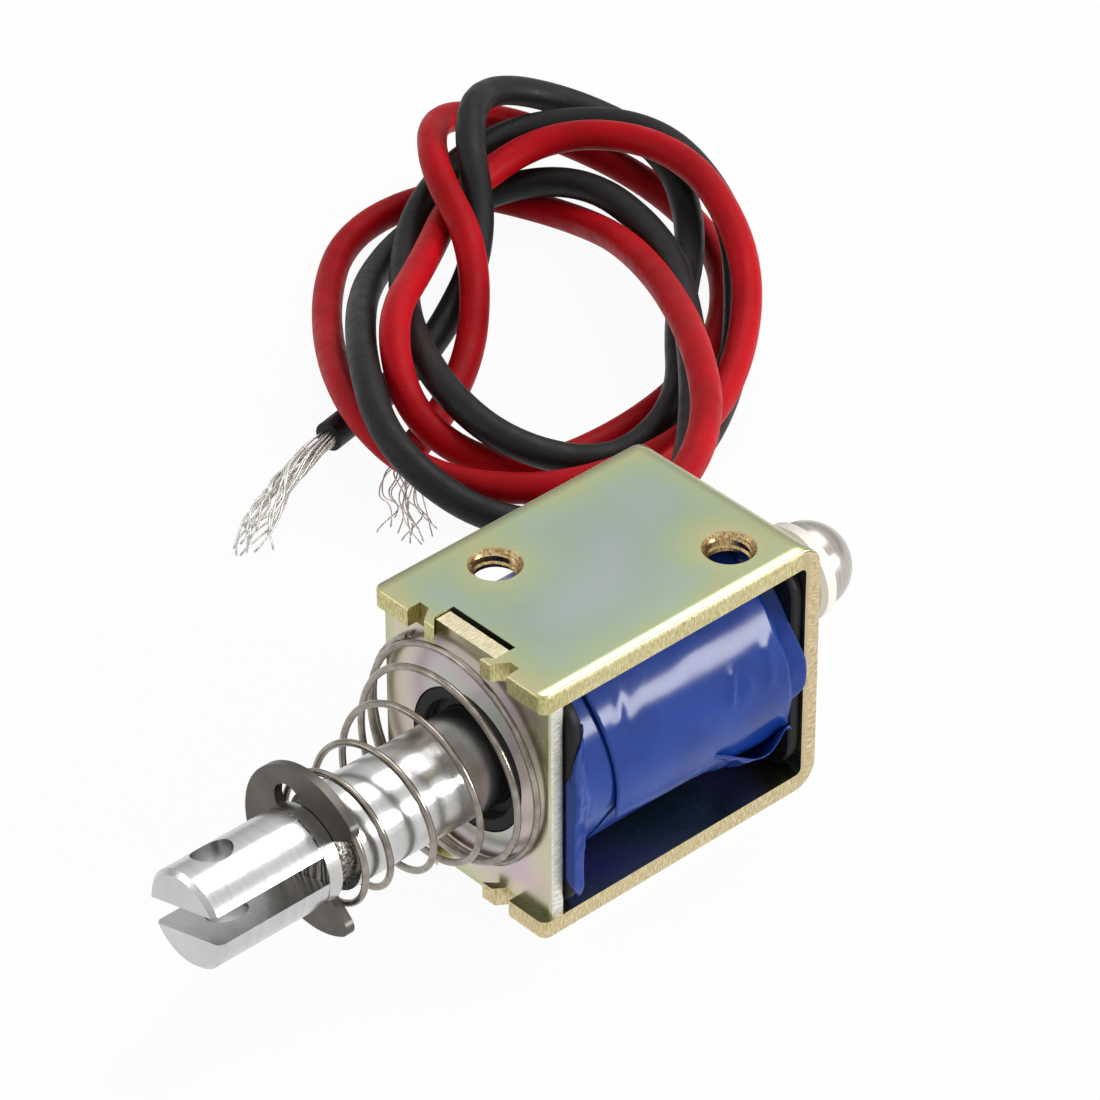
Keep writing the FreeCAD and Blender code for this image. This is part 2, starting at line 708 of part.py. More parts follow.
def make_head():
    """Domed push head with a blind socket for the rod."""
    dome = doc.addObject("Part::Sphere", "head_dome")
    bind(dome, Radius=size["head_radius"])
    dome.Angle1 = 0
    dome.Placement = Placement(Vector(), Rotation(Vector(1, 0, 0), -90))
    shift(dome, y=head_face + size["head_rim"], z=axis_height)
    rim = rod_along_axis("head_rim_band", size["head_radius"], head_face, size["head_rim"])
    solid = doc.addObject("Part::Fuse", "head_solid")
    solid.Base = dome
    solid.Tool = rim
    solid.Refine = True
    socket = rod_along_axis("head_socket_bore", size["rod_radius"], head_face, size["head_socket"])
    cut_away("push_head", solid, socket)


def make_washer():
    """Nylon washer on the rod under the head, chamfered on both faces."""
    body = new_body("nylon_washer")
    chamfer = size["washer_chamfer"]
    radius = size["washer_radius"]
    bore = size["rod_radius"]
    turn(body, [
        (bore, washer_front), (radius - chamfer, washer_front), (radius, washer_front + chamfer),
        (radius, head_face - chamfer), (radius - chamfer, head_face), (bore, head_face),
    ])

# Routes of the two leads in millimetres, from the bare end to where they stand behind the wrap.
# The lowest points lie on the surface that the yoke stands on.
floor_rest = 1.2
red_route = [
    (-39.5, 17.5, floor_rest), (-42.5, 26.0, floor_rest), (-50.0, 34.0, 6.5), (-59.0, 37.0, 9.0),
    (-66.5, 44.0, 7.5), (-64.5, 52.5, 3.5), (-54.5, 56.5, floor_rest), (-42.5, 53.5, floor_rest),
    (-33.5, 44.5, floor_rest), (-30.0, 33.0, floor_rest), (-31.0, 21.0, floor_rest), (-38.0, 16.5, 4.5),
    (-45.5, 20.5, 8.5), (-52.5, 30.5, 6.0), (-59.0, 39.5, 5.0), (-58.0, 49.5, 7.5),
    (-48.0, 54.0, 8.5), (-35.5, 49.0, 7.5), (-28.5, 42.0, 4.5), (-23.0, 32.0, 4.0),
    (-25.0, 20.5, 3.5), (-33.5, 14.0, 3.0), (-43.5, 14.5, 4.5), (-58.0, 24.5, floor_rest),
    (-65.5, 33.5, floor_rest), (-64.5, 44.0, floor_rest), (-55.5, 48.0, floor_rest), (-42.5, 43.5, 6.5),
    (-26.5, 34.5, 11.0), (-15.5, 26.0, 11.5), (-10.6, 15.5, 11.5),
]
black_route = [
    (-45.0, 14.0, floor_rest), (-46.5, 21.5, floor_rest), (-49.0, 29.0, 1.5), (-52.5, 37.0, 5.0),
    (-60.0, 41.5, 11.0), (-64.5, 48.5, 9.0), (-61.5, 55.5, 5.5), (-53.5, 57.5, 4.0),
    (-43.5, 51.0, 4.0), (-36.5, 42.5, 3.5), (-27.0, 34.0, 4.0), (-26.0, 26.0, 2.5),
    (-31.0, 19.5, 5.0), (-40.0, 20.0, 6.5), (-53.5, 28.5, 3.5), (-62.0, 38.5, 4.5),
    (-62.5, 49.0, 6.0), (-53.5, 56.0, 7.5), (-42.5, 54.0, 5.5), (-34.0, 47.0, 3.5),
    (-27.0, 38.5, floor_rest), (-22.0, 26.5, floor_rest), (-25.5, 15.0, 2.0), (-35.0, 11.5, 6.0),
    (-45.5, 17.5, 7.5), (-59.5, 30.5, 1.5), (-62.0, 41.5, 2.0), (-55.0, 49.0, 5.0),
    (-42.0, 46.5, 6.0), (-31.5, 39.0, 7.0), (-23.5, 32.0, 6.5), (-17.0, 24.5, 6.5),
    (-10.6, 15.5, 8.9),
]


def make_lead(colour, route, rise, strand_length):
    """One insulated lead with its bare strands and the splice that the outer tape covers."""
    lead_radius = size["lead_diameter"] / 2
    splice_height = axis_height + size["lead_spread"] / 2 * rise
    taped = [(-lead_side, place, splice_height) for place in (size["lead_exit"], size["lead_start"])]
    points = [Vector(*point) for point in route]
    points += [Vector(*(number_of(value) for value in point)) for point in taped]
    line, radii = rounded_line(points, lead_arcs)
    bare_end = points[0]
    outward = (points[0] - points[1]).normalize()
    section = Part.Wire(Part.makeCircle(lead_radius.number, bare_end, outward))
    lead = doc.addObject("Part::Feature", f"{colour}_lead")
    lead.Label = f"{colour}_lead"
    lead.Shape = line.makePipeShell([section], True, True)
    whole = math.pi * lead_radius.number ** 2 * line.Length
    if abs(lead.Shape.Volume - whole) > 0.01 * whole:
        raise RuntimeError(f"the {colour} lead's solid isn't its section along its line")
    print(f"{colour} lead: {line.Length:.1f} long, radii", [round(radius, 1) for radius in radii])

    strands = doc.addObject("Part::Cone", f"{colour}_lead_strands")
    bind(strands, Radius1=size["strand_bundle"], Radius2=size["strand_fray"], Height=strand_length)
    strands.Placement = Placement(bare_end, Rotation(Vector(0, 0, 1), outward))

    splice = doc.addObject("Part::Cylinder", f"{colour}_lead_splice")
    bind(splice, Radius=size["splice_radius"], Height=size["splice_length"])
    splice.Placement = Placement(Vector(), Rotation(Vector(1, 0, 0), 90))
    shift(splice, x=-lead_side, y=size["lead_start"], z=splice_height)


def check_document():
    """Stop if a feature has failed or a piece has no sound shape."""
    doc.recompute()
    for item in doc.Objects:
        if "Invalid" in item.State or "Error" in item.State:
            raise RuntimeError(f"{item.Label} has failed: {item.State}")


def export_pieces(labels):
    """Write each piece to its own file."""
    os.makedirs("parts", exist_ok=True)
    for label in labels:
        shape = doc.getObjectsByLabel(label)[0].Shape
        if shape.isNull() or not shape.isValid() or shape.Volume <= 0:
            raise RuntimeError(f"{label} has no sound shape")
        shape.exportStep(f"parts/{label}.step")
        print(f"{label}: {len(shape.Solids)} solid, {shape.Volume:.2f} cubic millimetres")


make_yoke()
make_front_plate()
make_bobbin()
make_winding()
make_under_wrap()
make_outer_wrap()
make_core()
make_plunger()
make_clip()
make_spring()
make_rod()
make_head()
make_washer()
make_lead("red", red_route, 1, size["red_strand_length"])
make_lead("black", black_route, -1, size["black_strand_length"])
check_document()
export_pieces([
    "yoke_frame", "front_plate", "bobbin", "coil_winding", "tape_under_wrap", "tape_outer_wrap",
    "fixed_core", "plunger", "e_clip", "return_spring", "push_rod", "push_head", "nylon_washer",
    "red_lead", "red_lead_strands", "red_lead_splice",
    "black_lead", "black_lead_strands", "black_lead_splice",
])
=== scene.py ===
import math
import random

import bmesh
import bpy
from mathutils import Matrix, Vector, noise


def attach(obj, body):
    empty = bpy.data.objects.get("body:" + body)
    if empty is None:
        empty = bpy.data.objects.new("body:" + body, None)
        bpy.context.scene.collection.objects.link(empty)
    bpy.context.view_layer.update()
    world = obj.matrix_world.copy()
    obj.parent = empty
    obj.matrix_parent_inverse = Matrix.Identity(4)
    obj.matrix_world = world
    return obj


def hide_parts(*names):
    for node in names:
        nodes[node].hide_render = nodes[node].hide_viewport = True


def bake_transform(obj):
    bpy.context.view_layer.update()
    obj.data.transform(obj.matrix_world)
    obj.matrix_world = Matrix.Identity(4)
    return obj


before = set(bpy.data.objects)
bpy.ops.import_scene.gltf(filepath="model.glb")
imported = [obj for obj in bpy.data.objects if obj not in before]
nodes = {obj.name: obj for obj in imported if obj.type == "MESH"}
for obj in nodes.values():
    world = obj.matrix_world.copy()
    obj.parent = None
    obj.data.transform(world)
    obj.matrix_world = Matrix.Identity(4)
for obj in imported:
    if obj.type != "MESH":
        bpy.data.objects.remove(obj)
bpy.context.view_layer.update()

# Push pull solenoid. X runs across the yoke, +Y along the axis to the push head, Z is up, all in metres.
# Sizes below are in millimetres where their name or note says so, and mm turns them into metres.

mm = 0.001
axisHeight = 10.5  # mm, plunger axis above the floor
print("scene: frame loaded with", len(nodes), "nodes")


# General helpers

def hexColour(text):  # sRGB hex to the linear colour that Blender works in
    parts = [int(text[i:i + 2], 16) / 255 for i in (1, 3, 5)]
    return [p / 12.92 if p <= 0.04045 else ((p + 0.055) / 1.055) ** 2.4 for p in parts] + [1.0]


def setInputs(tree, node, inputs):  # each input takes a value, a socket or the first output of a node
    for name, given in inputs.items():
        if isinstance(given, bpy.types.Node):
            given = given.outputs[0]
        if isinstance(given, bpy.types.NodeSocket):
            tree.links.new(given, node.inputs[name])
        else:
            node.inputs[name].default_value = given


def addNode(tree, kind, inputs={}, stops=(), **settings):  # a second word in kind is the node's operation
    kind, *operation = kind.split()
    node = tree.nodes.new(f"ShaderNode{kind}")
    if operation:
        node.operation = operation[0]
    for name, value in settings.items():
        setattr(node, name, value)
    setInputs(tree, node, inputs)
    if stops:  # colour ramp, as (place, hex) pairs
        ramp = node.color_ramp.elements
        while len(ramp) < len(stops):
            ramp.new(0.5)
        for element, (place, colour) in zip(ramp, stops):
            element.position = place
            element.color = hexColour(colour)
    return node


def emptyTree(owner):  # node tree of a material or the world
    owner.use_nodes = True
    owner.node_tree.nodes.clear()
    return owner.node_tree


def newFinish(name, shading):  # shading holds the values on the shader's own sockets
    finish = bpy.data.materials.new(name)
    tree = emptyTree(finish)
    shader = addNode(tree, "BsdfPrincipled", shading)
    addNode(tree, "OutputMaterial", {"Surface": shader})
    return finish, tree, shader, addNode(tree, "TexCoord").outputs["Object"]


def perMm(size):  # texture scale for a pattern that repeats about every size millimetres
    return 1 / (size * mm)


def stretched(tree, source, sizes, turn=(0, 0, 0)):  # sizes of a pattern in millimetres along each axis
    scale = [perMm(size) for size in sizes]
    return addNode(tree, "Mapping", {"Vector": source, "Scale": scale, "Rotation": turn})


def span(ends, unit=mm):  # the range that a map range node turns into 0 to 1
    return {1: ends[0] * unit, 2: ends[1] * unit}


def joined(tree, operation, sources, reach=0.0):  # one value from many, such as the largest
    result = sources[0]
    for source in sources[1:]:
        result = addNode(tree, f"Math {operation}", {0: result, 1: source, 2: reach})
    return result


def mottle(tree, shader, place, size, detail, *stops):  # colour in patches, size in millimetres
    cloud = addNode(tree, "TexNoise", {"Vector": place, "Scale": perMm(size), "Detail": detail})
    setInputs(tree, shader, {"Base Color": addNode(tree, "ValToRGB", {0: cloud}, stops)})


def addBump(tree, shader, height, depth=1.0):  # depth in millimetres
    bump = addNode(tree, "Bump", {"Height": height, "Distance": depth * mm, "Strength": 1.0})
    setInputs(tree, shader, {"Normal": bump})


def roughen(tree, shader, place, size, depth, detail=2, distortion=0):  # size and depth in millimetres
    grain = addNode(tree, "TexNoise", {"Vector": place, "Scale": perMm(size), "Detail": detail,
                                       "Distortion": distortion})
    addBump(tree, shader, grain, depth)


def dress(finish, *names):
    for name in names:
        slots = nodes[name].data.materials
        slots.clear()
        slots.append(finish)


def roundAxis(radius, turn, y):  # millimetres, and radians up from +X
    return Vector((radius * math.cos(turn), y, axisHeight + radius * math.sin(turn)))


def addMesh(name, points, faces, finish, body, smooth=True):
    mesh = bpy.data.meshes.new(name)
    mesh.from_pydata([tuple(p) for p in points], [], faces)
    mesh.validate()
    for polygon in mesh.polygons:
        polygon.use_smooth = smooth
    mesh.materials.append(finish)
    piece = bpy.data.objects.new(name, mesh)
    bpy.context.scene.collection.objects.link(piece)
    if body:
        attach(piece, body)
    return piece


def gridFaces(rows, columns, closedRows=False, closedColumns=False, start=0):
    faces = []
    for i in range(rows if closedRows else rows - 1):
        for j in range(columns if closedColumns else columns - 1):
            a, b = i * columns, (i + 1) % rows * columns
            k = (j + 1) % columns
            faces.append((start + a + j, start + b + j, start + b + k, start + a + k))
    return faces


def tubeAlong(line, radius, sides, points, faces):  # adds a closed tube round the line of points
    start, last = len(points), len(line) - 1
    side = None
    for i, here in enumerate(line):
        along = (line[min(i + 1, last)] - line[max(i - 1, 0)]).normalized()
        if side is None:
            side = along.orthogonal()
        side = (side - along * side.dot(along)).normalized()
        across = along.cross(side)
        for s in range(sides):
            turn = 2 * math.pi * s / sides
            points.append(here + (side * math.cos(turn) + across * math.sin(turn)) * radius)
    faces.extend(gridFaces(len(line), sides, closedColumns=True, start=start))
    faces.append(tuple(start + s for s in reversed(range(sides))))
    faces.append(tuple(start + last * sides + s for s in range(sides)))


def smoothCurve(name, points, steps):  # NURBS curve from the first point to the last
    curve = bpy.data.curves.new(name, "CURVE")
    curve.dimensions = "3D"
    spline = curve.splines.new("NURBS")
    spline.points.add(len(points) - 1)
    for target, point in zip(spline.points, points):
        target.co = (*point, 1)
    spline.order_u = 3
    spline.use_endpoint_u = True
    curve.resolution_u = steps
    return curve


def softLine(points, steps):  # places along such a curve
    holder = bpy.data.objects.new("line", smoothCurve("line", [Vector(point) for point in points], steps))
    mesh = bpy.data.meshes.new_from_object(holder)
    line = [vertex.co.copy() for vertex in mesh.vertices]
    bpy.data.objects.remove(holder)
    bpy.data.meshes.remove(mesh)
    return line


# Camera, found from the photograph's edges and circles

cameraView = {
    "place": (239.451, -224.184, 265.930),  # mm
    "right": (0.6772, 0.7358, -0.0020),
    "up": (-0.4379, 0.4051, 0.8026),
    "back": (0.5914, -0.5426, 0.5965),
    "lens": 196.36, "sensor": 36,  # mm
    "clipStart": 10,  # mm
}


def makeCamera(view):
    lens = bpy.data.cameras.new("camera")
    lens.lens = view["lens"]
    lens.sensor_width = view["sensor"]
    lens.clip_start = view["clipStart"] * mm
    camera = bpy.data.objects.new("camera", lens)
    turn = Matrix([view["right"], view["up"], view["back"]]).transposed().to_4x4()
    camera.matrix_world = Matrix.Translation(Vector(view["place"]) * mm) @ turn
    bpy.context.scene.collection.objects.link(camera)
    bpy.context.scene.camera = camera


makeCamera(cameraView)
print("scene: camera placed")


# Stage: white floor, soft light from a large box above and two smaller ones beside it

stageLook = {
    "floorSize": 2.4,  # m
    "floorColour": "#F4F4F4",
    "floorGlow": 0.95,  # share of plain white that the camera and reflections see in place of the lit floor
    "worldLevel": 0.42,  # ambient light
    "skyStops": ((0, "#DADADA"), (0.5, "#C4C4C4"), (0.62, "#D0D0D0"), (0.78, "#F0F0F0"), (1, "#FFFFFF")),
    "boxes": (  # place in mm, aim in mm, width and height in mm, power in watts
        ((-25, 250, 410), (0, 0, 5), (300, 220), 0.85),  # above and behind: rims and the plunger's top
        ((371, 270, 140), (0, 0, 10), (220, 100), 1.5),  # right, low: the bright band on the tape
        ((-260, -360, 180), (0, -10, 8), (240, 200), 0.28),  # left of the camera: fills the front
    ),
}


def makeFloor(look):
    finish = bpy.data.materials.new("whitePaperFloor")
    tree = emptyTree(finish)
    path = addNode(tree, "LightPath").outputs
    direct = joined(tree, "MAXIMUM", [path[f"Is {ray} Ray"] for ray in ("Camera", "Glossy", "Transmission")])
    share = addNode(tree, "Math MULTIPLY", {0: direct, 1: look["floorGlow"]})
    paper = addNode(tree, "BsdfDiffuse", {"Color": hexColour(look["floorColour"])})
    glow = addNode(tree, "Emission", {"Color": (1, 1, 1, 1), "Strength": 1.0})
    mix = addNode(tree, "MixShader", {0: share, 1: paper, 2: glow})
    addNode(tree, "OutputMaterial", {"Surface": mix})
    half = look["floorSize"] / 2
    corners = [(-half, -half, 0), (half, -half, 0), (half, half, 0), (-half, half, 0)]
    floor = addMesh("paperFloor", corners, [(0, 1, 2, 3)], finish, None, smooth=False)


def makeRoom(look):  # ambient light, with a sky for what metal mirrors and plain white for the camera
    world = bpy.data.worlds.new("softRoom")
    bpy.context.scene.world = world
    tree = emptyTree(world)
    parts = addNode(tree, "SeparateXYZ", {0: addNode(tree, "TexCoord").outputs["Generated"]}).outputs
    height = addNode(tree, "MapRange", {0: parts[2], **span((-1, 1), 1)})
    sky = addNode(tree, "ValToRGB", {0: height}, look["skyStops"])
    mirrored = addNode(tree, "Background", {"Color": sky, "Strength": 1.0})
    ambient = addNode(tree, "Background", {"Color": (1, 1, 1, 1), "Strength": look["worldLevel"]})
    plain = addNode(tree, "Background", {"Color": (1, 1, 1, 1), "Strength": 1.0})
    path = addNode(tree, "LightPath").outputs
    lit = addNode(tree, "MixShader", {0: path["Is Glossy Ray"], 1: ambient, 2: mirrored})
    shown = addNode(tree, "MixShader", {0: path["Is Camera Ray"], 1: lit, 2: plain})
    addNode(tree, "OutputWorld", {"Surface": shown})


def makeLamps(look):
    for place, aim, (width, height), power in look["boxes"]:
        lamp = bpy.data.lights.new("softBox", "AREA")
        lamp.shape = "RECTANGLE"
        lamp.size = width * mm
        lamp.size_y = height * mm
        lamp.energy = power
        box = bpy.data.objects.new("softBox", lamp)
        beam = (Vector(aim) - Vector(place)).normalized()
        turn = beam.to_track_quat("-Z", "Y").to_matrix().to_4x4()
        box.matrix_world = Matrix.Translation(Vector(place) * mm) @ turn
        bpy.context.scene.collection.objects.link(box)


makeFloor(stageLook)
makeRoom(stageLook)
makeLamps(stageLook)
bpy.context.scene.view_settings.view_transform = "Standard"
print("scene: stage lit")


# Leads: stranded hook-up wire in extruded PVC, thrown into a loose ring behind the yoke

leadLook = {
    "thickness": 2.4,  # mm over the insulation
    "steps": 14, "roundness": 7,  # along the curve between two points, and round the wire
    "red": {
        "colour": "#B90917", "shade": "#A20610", "gloss": 0.11, "length": 0.3535,
        "route": [
            (-39.5, 17.5, 1.2), (-42.5, 26, 1.2), (-50, 34, 6.5), (-59, 37, 9), (-66.5, 44, 7.5),
            (-64.5, 52.5, 3.5), (-54.5, 56.5, 1.2), (-42.5, 53.5, 1.2), (-33.5, 44.5, 1.2),
            (-30, 33, 1.2), (-31, 21, 1.2), (-38, 16.5, 4.5), (-45.5, 20.5, 8.5), (-52.5, 30.5, 6),
            (-59, 39.5, 5), (-58, 49.5, 7.5), (-48, 54, 8.5), (-35.5, 49, 7.5), (-28.5, 42, 4.5),
            (-23, 32, 4), (-25, 20.5, 3.5), (-33.5, 14, 3), (-43.5, 14.5, 4.5), (-58, 24.5, 1.2),
            (-65.5, 33.5, 1.2), (-64.5, 44, 1.2), (-55.5, 48, 1.2), (-42.5, 43.5, 6.5),
            (-26.5, 34.5, 11), (-15.5, 26, 11.5), (-10.6, 15.5, 11.5), (-10.4, 9, 11.8),
            (-10.4, 2.5, 11.8)],
    },
    "black": {
        "colour": "#191818", "shade": "#0F0E0E", "gloss": 0.22, "length": 0.358,
        "route": [
            (-45, 14, 1.2), (-46.5, 21.5, 1.2), (-49, 29, 1.5), (-52.5, 37, 5), (-60, 41.5, 11),
            (-64.5, 48.5, 9), (-61.5, 55.5, 5.5), (-53.5, 57.5, 4), (-43.5, 51, 4), (-36.5, 42.5, 3.5),
            (-27, 34, 4), (-26, 26, 2.5), (-31, 19.5, 5), (-40, 20, 6.5), (-53.5, 28.5, 3.5),
            (-62, 38.5, 4.5), (-62.5, 49, 6), (-53.5, 56, 7.5), (-42.5, 54, 5.5), (-34, 47, 3.5),
            (-27, 38.5, 1.2), (-22, 26.5, 1.2), (-25.5, 15, 2), (-35, 11.5, 6), (-45.5, 17.5, 7.5),
            (-59.5, 30.5, 1.5), (-62, 41.5, 2), (-55, 49, 5), (-42, 46.5, 6), (-31.5, 39, 7),
            (-23.5, 32, 6.5), (-17, 24.5, 6.5), (-10.6, 15.5, 8.9), (-10.4, 9, 9.2), (-10.4, 2.5, 9.2)],
    },
}


def pvcFinish(colour, look):
    # Plasticised PVC, extruded over the strands: a matt skin with a broad weak highlight and slight waviness
    shading = {"IOR": 1.53, "Specular IOR Level": look["gloss"]}
    finish, tree, shader, place = newFinish(f"{colour}PvcInsulation", shading)
    mottle(tree, shader, place, 6, 3, (0.35, look["shade"]), (0.6, look["colour"]))
    scuff = addNode(tree, "TexNoise", {"Vector": place, "Scale": perMm(1.4), "Detail": 5})
    dull = addNode(tree, "MapRange", {0: scuff, 1: 0.3, 2: 0.7, 3: 0.42, 4: 0.58})
    setInputs(tree, shader, {"Roughness": dull})
    roughen(tree, shader, place, 0.25, 0.035, 3)
    return finish


def makeLead(colour):
    look = leadLook[colour]
    curve = smoothCurve(f"{colour}Lead", [Vector(point) * mm for point in look["route"]], leadLook["steps"])
    curve.bevel_depth = leadLook["thickness"] / 2 * mm
    curve.bevel_resolution = leadLook["roundness"]
    curve.use_fill_caps = True
    curve.materials.append(pvcFinish(colour, look))
    lead = bpy.data.objects.new(f"{colour}Lead", curve)
    bpy.context.scene.collection.objects.link(lead)
    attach(lead, "solenoid_frame")
    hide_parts(f"{colour}_lead")
    return lead


# Bare ends: thin tinned wires, twisted where they leave the insulation and loose at their tips

strandLook = {  # sizes in mm; a wire is drawn a little thicker than the real one so that it shows
    "spreads": (0.25, 1.0), "twists": (0.7, 1.25), "lengths": (0.86, 1.0),  # shares, wire by wire
    "bend": ((-1, 1), (2, 5), (0, 6.3)),  # size, rate and phase of each of a wire's four bends
    "frayFrom": 0.18,  # share of the length at which the wires come loose
    "flatness": 0.45,  # the loose tips lie down towards the floor
    "lift": 0.02,  # lowest wires above the floor
    "steps": 10, "sides": 5,
    "black": {
        "count": 24, "wire": 0.19, "seed": 4, "spread": 1.5, "bundle": 0.72, "twist": 1.6, "stray": 0.6,
        "line": [(-45.3, 15.5, 1.2), (-45, 14, 1.15), (-44.3, 10.7, 1.1), (-42.6, 7.0, 1.0),
                 (-40.4, 3.2, 0.9), (-38.0, 0.4, 0.7)],
    },
    "red": {
        "count": 14, "wire": 0.13, "seed": 9, "spread": 3.0, "bundle": 0.62, "twist": 0.8, "stray": 1.4,
        "line": [(-40.0, 19.0, 1.2), (-39.5, 17.5, 1.15), (-38.4, 15.6, 0.95), (-36.4, 13.4, 0.7),
                 (-33.8, 11.5, 0.5), (-30.9, 9.9, 0.35)],
    },
}


def tinnedFinish():
    # Tinned copper wire: drawn, dipped and a little oxidised, so grey with bright lines
    finish, tree, shader, place = newFinish("tinnedCopperWire", {"Metallic": 1.0, "Roughness": 0.42})
    mottle(tree, shader, place, 0.8, 4, (0.3, "#CFCCC4"), (0.65, "#FAF9F6"))
    return finish


def makeStrands(colour, finish):
    look = strandLook[colour]
    chance = random.Random(look["seed"])
    centre = softLine(look["line"], strandLook["steps"])
    last = len(centre) - 1
    points, faces = [], []
    wire = look["wire"] / 2
    for _ in range(look["count"]):
        start = math.sqrt(chance.random()) * look["bundle"]
        angle = chance.uniform(0, 2 * math.pi)
        spread = look["spread"] * chance.uniform(*strandLook["spreads"])
        twist = look["twist"] * chance.uniform(*strandLook["twists"])
        reach = chance.uniform(*strandLook["lengths"])
        bends = [[chance.uniform(*ends) for ends in strandLook["bend"]] for _ in range(4)]
        line = []
        for i in range(int(len(centre) * reach)):
            along = i / last
            forward = (centre[min(i + 1, last)] - centre[max(i - 1, 0)]).normalized()
            side = forward.cross(Vector((0, 0, 1))).normalized()
            rise = side.cross(forward)
            fray = max(0.0, along - strandLook["frayFrom"]) ** 1.2
            radius = start + (spread - start * 0.4) * fray
            turn = angle + twist * along * 2
            offset = [radius * math.cos(turn), radius * math.sin(turn)]
            for part, (size, rate, phase) in enumerate(bends):  # by turns upwards and sideways
                offset[1 - part % 2] += look["stray"] * size * fray * math.sin(rate * along * 4 + phase)
            here = centre[i] + side * offset[0] + rise * offset[1] * (1 - strandLook["flatness"] * fray)
            here.z = max(here.z, wire + strandLook["lift"])
            line.append(here * mm)
        tubeAlong(line, wire * mm, strandLook["sides"], points, faces)
    strands = addMesh(f"{colour}LeadStrands", points, faces, finish, "solenoid_frame")
    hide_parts(f"{colour}_lead_strands")
    return strands


tinned = tinnedFinish()
for colour in ("red", "black"):
    lead = makeLead(colour)
    strands = makeStrands(colour, tinned)
    dress(tinned, f"{colour}_lead_splice")
print("scene: leads laid")


# Return spring: conical turns from the clip to the front plate, the large end against the plate and off the
# axis

springLook = {
    "wire": 0.52, "small": 4.58, "large": 8.51, "turns": 5.94,  # mm and turns
    "aside": 0.78, "lift": 0.57,  # mm, large end off the axis
    "firstTurn": -0.217,  # radians, where the small end starts
    "closingUp": 2.29, "settingOff": 2.02, "flaring": 2.08,  # powers that space the turns and widen them
    "clipEnd": -25.55, "plateEnd": -12.55,  # mm along the axis, wire centre
    "stepsPerTurn": 56, "sides": 14,
}


def springFinish():
    # Drawn stainless spring wire: fine lengthways die lines under a dull warm grey
    finish, tree, shader, place = newFinish("drawnSpringWire", {"Metallic": 1.0, "Roughness": 0.25})
    mottle(tree, shader, place, 1.2, 4, (0.3, "#7D756C"), (0.7, "#A8A097"))
    roughen(tree, shader, place, 0.12, 0.01)
    return finish


def makeSpring(look):
    line, shares = [], []
    count = round(look["turns"] * look["stepsPerTurn"])
    for i in range(count + 1):
        turn = look["turns"] * i / count
        climb = (1 - (1 - i / count) ** look["closingUp"]) ** look["settingOff"]
        flare = climb ** look["flaring"]
        radius = look["small"] * (1 - flare) + look["large"] * flare
        angle = 2 * math.pi * turn + look["firstTurn"]
        x = radius * math.sin(angle) - look["aside"] * climb
        y = look["clipEnd"] + (look["plateEnd"] - look["clipEnd"]) * climb
        z = axisHeight + radius * math.cos(angle) + look["lift"] * climb
        line.append(Vector((x, y, z)) * mm)
        shares.append(1 - climb)
    points, faces = [], []
    tubeAlong(line, look["wire"] / 2 * mm, look["sides"], points, faces)
    spring = addMesh("conicalReturnSpring", points, faces, springFinish(), None)
    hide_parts("return_spring")
    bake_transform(spring)


makeSpring(springLook)
print("scene: spring wound")


# Plated steel of the yoke, the front plate and the core

